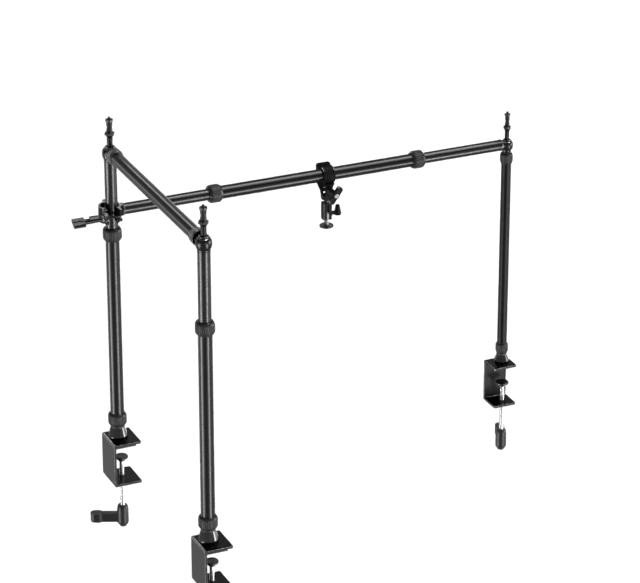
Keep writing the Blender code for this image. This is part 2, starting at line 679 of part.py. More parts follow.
def clamp_shell(name, angles, grip, look, base):
    """One curved half of the column clamp, with the block inside it that grips the column."""
    wall = SHELL_OUTER - SHELL_WALL
    half = SHELL_HEIGHT / 2
    outline = [(wall, -half), (SHELL_OUTER, -half), (SHELL_OUTER, half), (wall, half)]
    shell = to_object(name, revolve_part(outline, *angles, 12), look, base,
                      (SHELL_CENTRE_X, 0, SHELL_MIDDLE))
    reach, start, end = grip
    column_side = LEFT.inner_radius + GAP
    block_outline = [(column_side, -GRIP_HALF_HEIGHT), (reach, -GRIP_HALF_HEIGHT),
                     (reach, GRIP_HALF_HEIGHT), (column_side, GRIP_HALF_HEIGHT)]
    join(shell, to_object(name + "_grip", revolve_part(block_outline, start, end, 10), look, base))
    return shell


def column_clamp():
    """Hinged clamp round the rear left column, with the crossbar's socket and a thumb screw."""
    height = PLATE_TOP + CROSSBAR_HEIGHT
    base = frame_empty("column_clamp", (0, 0, height))
    pin_y = SHELL_OUTER + KNUCKLE_RADIUS + 0.0006
    look = "black_coated_steel"
    body = clamp_shell("column_clamp_body", BODY_ANGLES, BODY_GRIP, look, base)
    jaw = clamp_shell("column_clamp_jaw", JAW_ANGLES, JAW_GRIP, look, base)

    hinge_place = (SHELL_CENTRE_X, 0, SHELL_MIDDLE)
    third = SHELL_HEIGHT / 6
    outer_end = SHELL_HEIGHT / 2 - 0.0006
    for owner, side, low, high in ((body, 1, -outer_end, -third), (body, 1, third, outer_end),
                                   (jaw, -1, GAP - third, third - GAP)):
        knuckle = extrude(knuckle_outline(side, pin_y), low, high)
        join(owner, to_object(f"{owner.name}_knuckle_{low:.4f}", knuckle, look, base, hinge_place))
    pin_place = (SHELL_CENTRE_X, pin_y, SHELL_MIDDLE)
    bore = revolve([(0, -SHELL_HEIGHT), (KNUCKLE_PIN_RADIUS + GAP, -SHELL_HEIGHT),
                    (KNUCKLE_PIN_RADIUS + GAP, SHELL_HEIGHT), (0, SHELL_HEIGHT)], SMALL_STEPS)
    bore_room = to_object("column_clamp_pin_room", bore, look, base, pin_place)
    cut(body, bore_room)
    cut(jaw, bore_room)
    pin_half = SHELL_HEIGHT / 2 + 0.0015
    pin = revolve([(0, -pin_half), (KNUCKLE_PIN_RADIUS, -pin_half), (KNUCKLE_PIN_RADIUS, pin_half),
                   (0, pin_half)], SMALL_STEPS)
    to_object("column_clamp_pin", pin, "dark_steel", base, pin_place)

    for owner, ear, back in ((body, BODY_EAR, -0.0215), (jaw, JAW_EAR, -0.0165)):
        left, right, low, high = ear
        join(owner, block(owner.name + "_ear", look, base, (left, EAR_FRONT, low), (right, back, high)))
    room = THUMB_SCREW_RADIUS + GAP
    for owner, ear in ((body, BODY_EAR), (jaw, JAW_EAR)):
        cut(owner, block(owner.name + "_notch", look, base,
                         (ear[0] - 0.002, EAR_FRONT - 0.002, EAR_Z - room),
                         (ear[1] + 0.002, EAR_Y + room + GAP, EAR_Z + room)))
    pin_room = SWING_PIN_RADIUS + GAP
    pin_room_half = SWING_PIN_HALF + GAP
    swing_room = revolve([(0, -pin_room_half), (pin_room, -pin_room_half), (pin_room, pin_room_half),
                          (0, pin_room_half)], SMALL_STEPS)
    cut(body, to_object("column_clamp_swing_room", swing_room, look, base, (SWING_X, EAR_Y, EAR_Z)))

    plug = BAR_END_RADIUS - BAR_END_WALL - GAP
    end = SOCKET_START + SOCKET_LENGTH
    socket = revolve([
        (0, 0.0195), (0.0150, 0.0195), (0.0150, SOCKET_START), (SOCKET_RADIUS - 0.0006, SOCKET_START),
        (SOCKET_RADIUS, SOCKET_START + 0.0006), (SOCKET_RADIUS, end), (plug, end),
        (plug, end + PORT_PLUG_LENGTH), (0, end + PORT_PLUG_LENGTH),
    ], MEDIUM_STEPS)
    join(body, to_object("column_clamp_body_socket", socket, look, base, turn=ALONG_X))

    thumb_screw(base)


def thumb_screw(base):
    """Screw that closes the column clamp in front of the column, and its T handle."""
    place = (0, EAR_Y, EAR_Z)
    hub_end = THUMB_HUB_START + THUMB_HUB_LENGTH
    screw_end = hub_end - 0.010
    screw_start = -SWING_X - THUMB_SCREW_RADIUS * 0.9
    screw_shaft = revolve([(0, screw_start), (THUMB_SCREW_RADIUS * 0.6, screw_start),
                           (THUMB_SCREW_RADIUS, screw_start + THUMB_SCREW_RADIUS * 0.5),
                           (THUMB_SCREW_RADIUS, screw_end), (0, screw_end)], SMALL_STEPS)
    screw = to_object("column_clamp_screw", screw_shaft, "dark_steel", base, place, ALONG_MINUS_X)
    swing_pin = revolve([(0, -SWING_PIN_HALF), (SWING_PIN_RADIUS, -SWING_PIN_HALF),
                         (SWING_PIN_RADIUS, SWING_PIN_HALF), (0, SWING_PIN_HALF)], SMALL_STEPS)
    join(screw, to_object("column_clamp_swing_pin", swing_pin, "dark_steel", base, (SWING_X, EAR_Y, EAR_Z)))

    bore = THUMB_SCREW_RADIUS + GAP
    hub = revolve([
        (0, screw_end + GAP), (bore, screw_end + GAP), (bore, THUMB_HUB_START),
        (THUMB_HUB_RADIUS + 0.0015, THUMB_HUB_START),
        (THUMB_HUB_RADIUS + 0.0015, THUMB_HUB_START + 0.0040),
        (THUMB_HUB_RADIUS - 0.0010, THUMB_HUB_START + 0.0050), (THUMB_HUB_RADIUS, hub_end),
        (0, hub_end),
    ], MEDIUM_STEPS)
    handle = to_object("column_clamp_handle", hub, "black_plastic", base, place, ALONG_MINUS_X)
    bar_outline = rounded_rectangle(THUMB_BAR_LENGTH, THUMB_BAR_THICKNESS, 0.0055)
    bar = extrude(turned(bar_outline, 90 - THUMB_BAR_TILT), hub_end - 0.0030, hub_end + THUMB_BAR_DEPTH)
    join(handle, to_object("column_clamp_handle_bar", bar, "black_plastic", base, place, ALONG_MINUS_X))
    half = THUMB_FIN_THICKNESS / 2
    fin_foot = THUMB_SCREW_RADIUS + 0.0015
    fin = [(fin_foot, -half), (THUMB_FIN_HEIGHT, -half), (THUMB_FIN_HEIGHT, half), (fin_foot, half)]
    join(handle, to_object("column_clamp_handle_fin", extrude(fin, *THUMB_FIN), "black_plastic", base,
                           place, ALONG_MINUS_X))


def jaw_section(side, tip_angle, flare_angle, tab):
    """Side outline of a camera clamp jaw in the (y, z) plane; side is -1 for front, 1 for rear.

    The jaw's outer curve stops at flare_angle and runs on along the tab's points, if it has any.
    """
    outer = JAW_OUTER
    inner = outer - JAW_WALL
    leg_top = outer * 0.987
    inside = arc((0, 0), inner, tip_angle, -48, 12)
    outside = arc((0, 0), outer, -48, flare_angle, 12)
    leg_low = JAW_EYE_RADIUS * 0.80
    leg = [(leg_top - LEG_THICKNESS, -outer * 0.80), (leg_low - LEG_THICKNESS, -JAW_PIVOT_DROP),
           (leg_low, -JAW_PIVOT_DROP), (leg_top, -outer * 0.86)]
    return [(side * y, z) for y, z in inside + leg + outside + list(tab)]


def block(name, look, base, low, high):
    """Plain box between two corners, in the frame of an assembly."""
    outline = [(low[0], low[1]), (high[0], low[1]), (high[0], high[1]), (low[0], high[1])]
    return to_object(name, extrude(outline, low[2], high[2]), look, base)


def camera_clamp():
    """Two curved jaws on a pivot under the crossbar, closed by a bolt and a wing knob."""
    height = PLATE_TOP + CROSSBAR_HEIGHT
    base = frame_empty("camera_clamp", (CAMERA_CLAMP_X, 0, height))
    look = "black_plastic"
    side_turn = (90, 0, 90)
    front_half = FRONT_JAW_WIDTH / 2
    rear_half = REAR_JAW_WIDTH / 2

    front = to_object("camera_clamp_front_jaw",
                      extrude(jaw_section(-1, 82, 82, ()), -front_half, front_half),
                      look, base, turn=side_turn)
    tab_start, tab_end = TAB_ANGLES
    tab = [(BAR_RADIUS + out, BAR_RADIUS + up) for out, up in TAB_CORNERS]
    tab += arc((0, 0), JAW_OUTER, tab_end, 62, 4)
    rear = to_object("camera_clamp_rear_jaw",
                     extrude(jaw_section(1, 62, tab_start, tab), -rear_half, rear_half),
                     look, base, turn=side_turn)

    # The front leg is a tongue at its foot, and the rear leg is forked round it
    eye_bore = JAW_PIN_RADIUS + GAP
    cheek_inner = TONGUE_HALF_WIDTH + 2 * GAP
    cheek_outer = cheek_inner + CHEEK_WIDTH
    eye_place = (0, 0, -JAW_PIVOT_DROP)
    eyes = ((front, "front_eye", -TONGUE_HALF_WIDTH, TONGUE_HALF_WIDTH),
            (rear, "rear_eye_left", -cheek_outer, -cheek_inner),
            (rear, "rear_eye_right", cheek_inner, cheek_outer))
    for jaw, name, low, high in eyes:
        eye = revolve([(eye_bore, low), (JAW_EYE_RADIUS, low), (JAW_EYE_RADIUS, high), (eye_bore, high)],
                      SMALL_STEPS, closed=True)
        join(jaw, to_object(name, eye, look, base, eye_place, ALONG_X))

    reach = JAW_EYE_RADIUS + 0.0010
    eye_top = reach + 0.0020 - JAW_PIVOT_DROP
    foot = -JAW_PIVOT_DROP - reach
    cut(rear, block("rear_fork_room", look, base, (-cheek_inner, -0.030, foot),
                    (cheek_inner, 0.030, eye_top)))
    for jaw, taper in ((front, FRONT_TAPER), (rear, REAR_TAPER)):
        taper_start, wide = taper[0]
        for side in (-1, 1):
            outline = [(side * taper[-1][1], foot), (side * (wide + 0.002), foot),
                       (side * (wide + 0.002), -taper_start)]
            outline += [(side * half_width, -drop) for drop, half_width in taper]
            waste = extrude(outline, -0.040, 0.040)
            cut(jaw, to_object(f"{jaw.name}_waste_{side}", waste, look, base, turn=ALONG_MINUS_Y))
    clear_pin = revolve([(0, -0.030), (eye_bore, -0.030), (eye_bore, 0.030), (0, 0.030)], SMALL_STEPS)
    pin_cutter = to_object("jaw_pin_room", clear_pin, look, base, eye_place, ALONG_X)
    cut(front, pin_cutter)
    cut(rear, pin_cutter)
    pin_half = cheek_outer + 0.0010
    pin = revolve([(0, -pin_half), (JAW_PIN_RADIUS, -pin_half), (JAW_PIN_RADIUS, pin_half),
                   (0, pin_half)], SMALL_STEPS)
    to_object("camera_clamp_pin", pin, "dark_steel", base, eye_place, ALONG_X)

    # Room for the bolt: a round hole in the front leg, a tall slot in the rear leg
    hole_radius = BOLT_RADIUS + GAP
    hole = revolve([(0, -0.005), (hole_radius, -0.005), (hole_radius, 0.040), (0, 0.040)], SMALL_STEPS)
    bolt_place = (0, 0, -BOLT_DROP)
    cut(front, to_object("front_bolt_hole", hole, look, base, bolt_place, ALONG_MINUS_Y))
    cut(rear, block("rear_bolt_slot", look, base, (-hole_radius - 0.0005, -0.005, -BOLT_DROP - 0.0050),
                    (hole_radius + 0.0005, 0.045, -BOLT_DROP + 0.0140)))
    clamp_bolt_and_knob(base, bolt_place)
    tilt_head(base, front)


def clamp_bolt_and_knob(base, place):
    """Bolt through both legs of the camera clamp and the wing knob that draws it forward."""
    knob_end = KNOB_START + KNOB_HUB_LENGTH
    bolt_front = knob_end - WING_THICKNESS - 0.0010
    nut_end = -NUT_START - NUT_THICKNESS
    bolt = revolve([(0, nut_end), (NUT_RADIUS, nut_end, 6), (NUT_RADIUS, -NUT_START, 6),
                    (BOLT_RADIUS, -NUT_START), (BOLT_RADIUS, bolt_front), (0, bolt_front)], SMALL_STEPS)
    to_object("camera_clamp_bolt", bolt, "dark_steel", base, place, ALONG_MINUS_Y)

    bore = BOLT_RADIUS + GAP
    wing_start = knob_end - WING_THICKNESS
    hub = revolve([
        (0, bolt_front + GAP), (bore, bolt_front + GAP), (bore, KNOB_START),
        (KNOB_HUB_RADIUS - 0.0020, KNOB_START), (KNOB_HUB_RADIUS, KNOB_START + 0.0020),
        (KNOB_HUB_RADIUS, knob_end), (0, knob_end),
    ], MEDIUM_STEPS)
    knob = to_object("camera_clamp_wing_knob", hub, "black_plastic", base, place, ALONG_MINUS_Y)
    wing_outline = rounded_rectangle(WING_LENGTH, WING_WIDTH, WING_WIDTH * 0.42)
    wing = extrude(turned(wing_outline, WING_ANGLE), wing_start, knob_end - 0.0005)
    join(knob, to_object("camera_clamp_wing", wing, "black_plastic", base, place, ALONG_MINUS_Y))
    button = revolve([(0, knob_end + GAP), (BUTTON_RADIUS - 0.0006, knob_end + GAP),
                      (BUTTON_RADIUS, knob_end + GAP + 0.0006),
                      (BUTTON_RADIUS, knob_end + BUTTON_HEIGHT - 0.0006),
                      (BUTTON_RADIUS - 0.0006, knob_end + BUTTON_HEIGHT),
                      (0, knob_end + BUTTON_HEIGHT)], MEDIUM_STEPS)
    to_object("camera_clamp_button", button, "bright_chrome", base, place, ALONG_MINUS_Y)


def tilt_head(base, front_jaw):
    """Forked tilt head: two cheeks, a steel blade between them, a lock lever and a camera plate."""
    look = "black_coated_steel"
    fork_low = -FORK_TOP_DROP - FORK_HEIGHT
    fork = to_object("tilt_head_fork",
                     extrude(rounded_rectangle(FORK_WIDTH, FORK_DEPTH, 0.0045), fork_low, -FORK_TOP_DROP),
                     look, base)
    half_slot = FORK_SLOT / 2
    cut(fork, block("fork_slot", look, base, (-half_slot, -0.030, fork_low - 0.005),
                    (half_slot, 0.030, -FORK_TOP_DROP - FORK_BRIDGE)))
    tilt_place = (0, 0, -TILT_DROP)
    pin_bore = TILT_PIN_RADIUS + GAP
    room = revolve([(0, -0.030), (pin_bore, -0.030), (pin_bore, 0.030), (0, 0.030)], SMALL_STEPS)
    cut(fork, to_object("fork_pin_room", room, look, base, tilt_place, ALONG_X))
    swivel_bore = SWIVEL_RADIUS + GAP
    swivel_low = -FORK_TOP_DROP - FORK_BRIDGE - 0.001
    swivel_room = revolve([(0, swivel_low), (swivel_bore, swivel_low),
                           (swivel_bore, -FORK_TOP_DROP + 0.001), (0, -FORK_TOP_DROP + 0.001)],
                          SMALL_STEPS)
    cut(fork, to_object("fork_swivel_room", swivel_room, look, base))

    # The front jaw's foot carries the swivel stud, below its eye
    foot_top = -JAW_PIVOT_DROP - JAW_PIN_RADIUS - 0.0020
    join(front_jaw, block("front_foot", look, base, (-TONGUE_HALF_WIDTH + 0.0002, -0.0070, -SADDLE_DROP),
                          (TONGUE_HALF_WIDTH - 0.0002, 0.0070, foot_top)))
    stud_low = -FORK_TOP_DROP - FORK_BRIDGE + 0.0010
    stud = revolve([
        (0, stud_low), (SWIVEL_RADIUS, stud_low), (SWIVEL_RADIUS, -FORK_TOP_DROP + GAP),
        (NECK_RADIUS, -FORK_TOP_DROP + GAP), (NECK_RADIUS, -SADDLE_DROP + 0.0010),
        (0, -SADDLE_DROP + 0.0010),
    ], SMALL_STEPS)
    join(front_jaw, to_object("swivel_stud", stud, look, base))

    blade_half = half_slot - GAP
    blade_outline = arc((0, 0), BLADE_RADIUS, 0, 180, 12)
    blade_end = CAMERA_PLATE_DROP + KEY_DEPTH - TILT_DROP
    blade_outline += [(-BLADE_FOOT_HALF, -blade_end), (BLADE_FOOT_HALF, -blade_end)]
    blade = to_object("tilt_head_blade", extrude(blade_outline, -blade_half, blade_half),
                      "bright_chrome", base, tilt_place, (90, 0, 90))
    blade_pin_half = FORK_WIDTH / 2 - 0.0020
    blade_pin = revolve([(0, -blade_pin_half), (TILT_PIN_RADIUS, -blade_pin_half),
                         (TILT_PIN_RADIUS, 0.0040), (0, 0.0040)], SMALL_STEPS)
    join(blade, to_object("blade_pin", blade_pin, look, base, tilt_place, ALONG_X))

    camera_plate(base, blade_half)
    lock_lever(base, tilt_place)


def camera_plate(base, blade_half):
    """Round plate for the camera, keyed to the blade, with its screw through the middle."""
    top = -CAMERA_PLATE_DROP
    low = top - CAMERA_PLATE_THICKNESS
    blade_end = top - KEY_DEPTH
    screw_bore = CAMERA_SCREW_RADIUS + GAP
    plate = to_object("camera_plate", revolve([
        (0, low), (CAMERA_PLATE_RADIUS - 0.0010, low), (CAMERA_PLATE_RADIUS, low + 0.0010),
        (CAMERA_PLATE_RADIUS, top - 0.0012), (CAMERA_PLATE_RADIUS - 0.0012, top), (0, top),
    ]), "black_anodised", base)
    key_half = BLADE_FOOT_HALF + 2 * GAP
    cut(plate, block("camera_plate_key", "black_anodised", base,
                     (-blade_half - GAP, -key_half, blade_end - GAP),
                     (blade_half + GAP, key_half, top + 0.001)))
    room = revolve([(0, low - 0.001), (screw_bore, low - 0.001), (screw_bore, top + 0.001),
                    (0, top + 0.001)], SMALL_STEPS)
    cut(plate, to_object("camera_screw_room", room, "black_anodised", base))
    foot = low - CAMERA_SCREW_LENGTH
    screw = revolve([(0, foot), (CAMERA_SCREW_RADIUS - 0.0006, foot), (CAMERA_SCREW_RADIUS, foot + 0.0006),
                     (CAMERA_SCREW_RADIUS, blade_end - GAP), (0, blade_end - GAP)], SMALL_STEPS)
    to_object("camera_screw", screw, "bright_chrome", base)


def lock_lever(base, place):
    """Lever on the right of the fork: a short shaft and a tapered grip that stands up."""
    start = 0.0050
    face = FORK_WIDTH / 2
    shaft = revolve([(0, start), (TILT_PIN_RADIUS, start), (TILT_PIN_RADIUS, face + GAP),
                     (0.0060, face + GAP), (0.0060, face + LEVER_REACH), (0, face + LEVER_REACH)],
                    SMALL_STEPS)
    lever = to_object("tilt_head_lever", shaft, "black_plastic", base, place, ALONG_X)
    grip = revolve([
        (0, -0.0070), (GRIP_LOW_RADIUS - 0.0015, -0.0070), (GRIP_LOW_RADIUS, -0.0055),
        (GRIP_LOW_RADIUS, -0.0020), (GRIP_HIGH_RADIUS, GRIP_HEIGHT - 0.0105),
        (GRIP_HIGH_RADIUS - 0.0020, GRIP_HEIGHT - 0.0070), (0, GRIP_HEIGHT - 0.0070),
    ], MEDIUM_STEPS)
    grip_x = face + LEVER_REACH + GRIP_LOW_RADIUS * 0.75
    join(lever, to_object("tilt_head_grip", grip, "black_plastic", base, (grip_x, 0, place[2])))


def build():
    """Make the whole rig."""
    clear_scene()
    side_port = (SIDE_RADIUS - SIDE_WALL, SIDE_RING_RADIUS)
    bar_port = (BAR_END_RADIUS - BAR_END_WALL, BAR_FLANGE_RADIUS)
    column("rear_left", LEFT, (0, 0), 0, HEAD_HEIGHT, ALONG_MINUS_Y, side_port)
    column("front_left", LEFT, (0, -SIDE_SPAN), 0, HEAD_HEIGHT, ALONG_Y, side_port)
    column("right", RIGHT, (BAR_SPAN, 0), -90, CROSSBAR_HEIGHT, ALONG_MINUS_X, bar_port)
    side_bar()
    crossbar()
    column_clamp()
    camera_clamp()


build()
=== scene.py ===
# %% [markdown]
# # Overhead camera rig
#
# The real object is grip gear for filming a tabletop from above. Three telescopic columns stand on
# table clamps, a side bar joins the two on the left, and a telescopic crossbar carries a camera clamp
# with a small tilt head. Nearly every part is black, so its form is read from highlights.
#
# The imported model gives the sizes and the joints. Each piece here stands for one of its solids with
# the same place and size, but with round tubes, softened edges, threads, ribs and a finish.

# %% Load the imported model
import json
import math

import bmesh
import bpy
from mathutils import Euler, Matrix, Vector

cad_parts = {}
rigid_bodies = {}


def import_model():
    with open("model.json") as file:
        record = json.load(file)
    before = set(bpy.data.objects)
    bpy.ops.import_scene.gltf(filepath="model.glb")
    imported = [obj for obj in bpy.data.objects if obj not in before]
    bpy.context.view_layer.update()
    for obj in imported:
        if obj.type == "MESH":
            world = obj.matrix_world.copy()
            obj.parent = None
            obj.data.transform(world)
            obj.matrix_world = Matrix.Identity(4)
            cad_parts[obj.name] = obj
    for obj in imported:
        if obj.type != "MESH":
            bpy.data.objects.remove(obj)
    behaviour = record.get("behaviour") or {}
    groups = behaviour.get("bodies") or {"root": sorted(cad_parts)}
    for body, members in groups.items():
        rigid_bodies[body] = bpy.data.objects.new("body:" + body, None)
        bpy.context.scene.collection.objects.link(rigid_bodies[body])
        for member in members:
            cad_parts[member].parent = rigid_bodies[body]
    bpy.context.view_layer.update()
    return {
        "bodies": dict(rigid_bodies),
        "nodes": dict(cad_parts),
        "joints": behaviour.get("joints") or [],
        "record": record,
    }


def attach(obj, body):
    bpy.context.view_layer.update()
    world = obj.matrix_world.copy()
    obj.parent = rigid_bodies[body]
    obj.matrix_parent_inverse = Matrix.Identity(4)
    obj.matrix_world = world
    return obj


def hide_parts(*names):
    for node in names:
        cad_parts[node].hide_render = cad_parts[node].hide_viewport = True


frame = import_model()

# %% [markdown]
# ## The heights that everything hangs on
#
# The origin lies on the tabletop, under the rear left column. Two heights place the rest: the
# crossbar's axis and the middle of the left columns' heads. They are measured from the top of the
# clamps' steel plates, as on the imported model.

# %% Heights and spans, in metres
GAP = 0.0003
PLATE_TOP = 0.0123
BAR_Z = PLATE_TOP + 0.648
HEAD_Z = PLATE_TOP + 0.810
BAR_SPAN = 1.140
SIDE_SPAN = 0.632
CAMERA_X = 0.606
BAR_RADIUS = 0.0175
BAR_END_RADIUS = 0.0150
print("crossbar axis", round(BAR_Z, 4), "heads", round(HEAD_Z, 4))

# %% [markdown]
# ## Outlines with softened corners
#
# A machined edge is never sharp: it has a small chamfer or radius that catches the light. Modelling
# it in the outline is cheaper and cleaner than bevelling the finished mesh, so every corner of an
# outline is cut back a little and replaced by a short curve.


# %% Soften an outline
def softened(points, reach, steps=3, closed=False):
    """Replace each corner of an outline by a short curve that starts and ends `reach` from it."""
    count = len(points)
    made = []
    for index, point in enumerate(points):
        inner = closed or 0 < index < count - 1
        before = points[index - 1]
        after = points[(index + 1) % count]
        if not inner or len(point) > 2 or len(before) > 2 or len(after) > 2:
            made.append(point)
            continue
        corner = Vector(point)
        back = Vector(before) - corner
        ahead = Vector(after) - corner
        if back.length < 1e-7 or ahead.length < 1e-7 or back.angle(-ahead) < math.radians(12):
            made.append(point)
            continue
        cut = min(reach, back.length * 0.45, ahead.length * 0.45)
        start = corner + back.normalized() * cut
        end = corner + ahead.normalized() * cut
        for step in range(steps + 1):
            along = step / steps
            back_part = start * (1 - along) ** 2
            made.append(tuple(back_part + corner * 2 * along * (1 - along) + end * along ** 2))
    return made


def arc(centre, radius, start, end, steps):
    """Points along an arc, angles in degrees."""
    points = []
    for index in range(steps + 1):
        angle = math.radians(start + (end - start) * index / steps)
        points.append((centre[0] + radius * math.cos(angle), centre[1] + radius * math.sin(angle)))
    return points


def rounded_rectangle(width, depth, radius, steps=6):
    """Outline of a rectangle centred on the origin, with rounded corners."""
    right = width / 2 - radius
    top = depth / 2 - radius
    points = []
    for x, y, start in ((right, top, 0), (-right, top, 90), (-right, -top, 180), (right, -top, 270)):
        points += arc((x, y), radius, start, start + 90, steps)
    return points


# %% [markdown]
# ## Turning, sweeping and extruding
#
# Most of the rig was made on a lathe or drawn through a die, so most pieces are an outline spun
# round an axis. A lathe helper also writes a UV map called "lie", in metres round and along the
# piece, which lets one brushed finish follow tubes that point in three directions.


# %% Spin an outline round the Z axis
def spun(outline, steps=64, closed=False):
    """Spin (radius, height) points; a third number makes that ring a polygon with as many sides."""
    bm = bmesh.new()
    lie = bm.loops.layers.uv.new("lie")
    widest = max(point[0] for point in outline)
    rings = []
    runs = [0.0]
    for before, after in zip(outline, outline[1:]):
        runs.append(runs[-1] + math.dist(before[:2], after[:2]))
    for radius, height, *sides in outline:
        if radius < 1e-9:
            rings.append([bm.verts.new((0, 0, height))])
            continue
        ring = []
        for index in range(steps):
            angle = 2 * math.pi * index / steps
            reach = radius
            if sides:
                half = math.pi / sides[0]
                reach = radius * math.cos(half) / math.cos((angle % (2 * half)) - half)
            ring.append(bm.verts.new((reach * math.cos(angle), reach * math.sin(angle), height)))
        rings.append(ring)
    pairs = [(index, index + 1) for index in range(len(rings) - 1)]
    if closed:
        pairs.append((len(rings) - 1, 0))
    around = 2 * math.pi * widest / steps
    for low, high in pairs:
        for index in range(steps):
            after = (index + 1) % steps
            corners = [(low, index, 0), (low, after, 1), (high, after, 1), (high, index, 0)]
            if len(rings[low]) == 1:
                corners.pop(1)
            elif len(rings[high]) == 1:
                corners.pop(2)
            face = bm.faces.new([rings[ring][spot % len(rings[ring])] for ring, spot, _ in corners])
            for loop, (ring, _, side) in zip(face.loops, corners):
                loop[lie].uv = ((index + side) * around, runs[ring])
    return bm


# %% Extrude a flat outline, and spin one part of the way
def extruded(outline, low, high):
    """Extrude (x, y) points from one height to another."""
    bm = bmesh.new()
    bottom = [bm.verts.new((x, y, low)) for x, y in outline]
    top = [bm.verts.new((x, y, high)) for x, y in outline]
    bm.faces.new(list(reversed(bottom)))
    bm.faces.new(top)
    for index in range(len(outline)):
        after = (index + 1) % len(outline)
        bm.faces.new((bottom[index], bottom[after], top[after], top[index]))
    return bm


def swept(outline, start, end, steps):
    """Spin a closed outline of (radius, height) from one angle to another, in degrees."""
    bm = bmesh.new()
    sections = []
    for index in range(steps + 1):
        angle = math.radians(start + (end - start) * index / steps)
        sections.append([bm.verts.new((radius * math.cos(angle), radius * math.sin(angle), height))
                         for radius, height in outline])
    count = len(outline)
    for near, far in zip(sections, sections[1:]):
        for index in range(count):
            after = (index + 1) % count
            bm.faces.new((near[index], near[after], far[after], far[index]))
    bm.faces.new(sections[0])
    bm.faces.new(list(reversed(sections[-1])))
    return bm


def slab(low, high):
    """A plain box between two corners, used only to cut or to join."""
    return extruded([(low[0], low[1]), (high[0], low[1]), (high[0], high[1]), (low[0], high[1])],
                    low[2], high[2])


def cylinder(radius, low, high, steps=32, soft=0.0):
    """A plain cylinder, for bores and pins, with its ends softened if a reach is given."""
    outline = [(0, low), (radius, low), (radius, high), (0, high)]
    return spun(softened(outline, soft) if soft else outline, steps)


def turned_outline(points, degrees):
    """Turn a flat outline about the origin."""
    angle = math.radians(degrees)
    return [(x * math.cos(angle) - y * math.sin(angle), x * math.sin(angle) + y * math.cos(angle))
            for x, y in points]


# %% [markdown]
# ## From a shape to a finished mesh
#
# A finished piece keeps its place in its mesh and its object at the origin. Booleans join castings
# and cut their holes, and a small bevel then rounds what is left sharp. Weighted normals keep the
# large faces flat to the eye although every face is shaded smooth.

# %% Turns that lay a shape modelled along +Z on another axis
ALONG_X = (0, 90, 0)
ALONG_MINUS_X = (0, -90, 0)
ALONG_Y = (-90, 0, 0)
ALONG_MINUS_Y = (90, 0, 0)


def placed(point=(0, 0, 0), turn=(0, 0, 0)):
    """The place of a shape: its origin and its turn in degrees."""
    angles = [math.radians(angle) for angle in turn]
    return Matrix.Translation(point) @ Euler(angles).to_matrix().to_4x4()


def shape(name, bm, place=Matrix.Identity(4)):
    """Turn a bmesh into an object whose place is in its mesh."""
    bmesh.ops.remove_doubles(bm, verts=bm.verts, dist=1e-7)
    bmesh.ops.recalc_face_normals(bm, faces=bm.faces)
    mesh = bpy.data.meshes.new(name)
    bm.to_mesh(mesh)
    bm.free()
    mesh.transform(place)
    mesh.shade_smooth()
    obj = bpy.data.objects.new(name, mesh)
    bpy.context.collection.objects.link(obj)
    return obj


def applied(obj):
    """Turn whatever the modifiers make into the object's own plain mesh."""
    graph = bpy.context.evaluated_depsgraph_get()
    made = bpy.data.meshes.new_from_object(obj.evaluated_get(graph), preserve_all_data_layers=True,
                                           depsgraph=graph)
    obj.modifiers.clear()
    obj.data = made
    made.name = obj.name
    return obj


def combined(obj, tool, operation):
    """Join a tool shape to an object or cut it out, and remove the tool."""
    modifier = obj.modifiers.new("combine", "BOOLEAN")
    modifier.operation = operation
    modifier.solver = "EXACT"
    modifier.object = tool
    applied(obj)
    bpy.data.objects.remove(tool)
    return obj


def joined(obj, bm, place=Matrix.Identity(4)):
    """Add a shape to an object, as one closed solid."""
    return combined(obj, shape("tool", bm, place), "UNION")


def carved(obj, bm, place=Matrix.Identity(4)):
    """Cut a shape out of an object."""
    return combined(obj, shape("tool", bm, place), "DIFFERENCE")


def rounded(obj, width=0.0, segments=2):
    """Bevel the sharp edges by a width, then weigh the normals by face area."""
    obj.data.shade_smooth()
    if width:
        bevel = obj.modifiers.new("bevel", "BEVEL")
        bevel.width = width
        bevel.segments = segments
        bevel.limit_method = "ANGLE"
        bevel.angle_limit = math.radians(32)
        bevel.use_clamp_overlap = True
    normals = obj.modifiers.new("normals", "WEIGHTED_NORMAL")
    normals.keep_sharp = True
    return applied(obj)


# %% [markdown]
# ## Where a finish wears, and where highlights are painted
#
# Handling polishes the outer edges first. Narrow faces that turn outwards on both sides are the
# chamfers and bevels, so they are marked with the attribute "edge", which makes a finish paler:
# a little of that is wear, and most of it is a painted highlight along the bevels. Some pieces
# also get "edge" on chosen whole faces, as a painted highlight there.
# A second attribute, "sheared", makes chosen faces duller, or glossier where its share is below
# zero: flat plates that would mirror a whole light, and shoulders that should stay dark. Attributes
# were chosen because one material can then serve a piece whose faces differ.

# %% Mark the edge faces
EDGE_WIDTH = 0.0013
EDGE_TURN = math.radians(9)


def face_layer(mesh, name):
    """The named face attribute, made if the mesh hasn't got it yet."""
    return mesh.attributes.get(name) or mesh.attributes.new(name, "FLOAT", "FACE")


def mark_edges(mesh):
    """Write 1 on narrow outward-turning faces and 0 on the rest, in the attribute "edge"."""
    bm = bmesh.new()
    bm.from_mesh(mesh)
    values = []
    for face in bm.faces:
        turning = [edge for edge in face.edges
                   if len(edge.link_faces) == 2 and edge.calc_face_angle_signed(0.0) > EDGE_TURN]
        longest = max(edge.calc_length() for edge in face.edges)
        narrow = longest > 0 and face.calc_area() / longest < EDGE_WIDTH
        values.append(1.0 if narrow and len(turning) >= 2 else 0.0)
    bm.free()
    face_layer(mesh, "edge").data.foreach_set("value", values)


def mark_facing(obj, name, axis, share=1.0, least=0.9):
    """Write a share on the faces that look along a unit axis, in the named face attribute."""
    layer = face_layer(obj.data, name)
    for polygon in obj.data.polygons:
        if polygon.normal.dot(axis) > least:
            layer.data[polygon.index].value = share


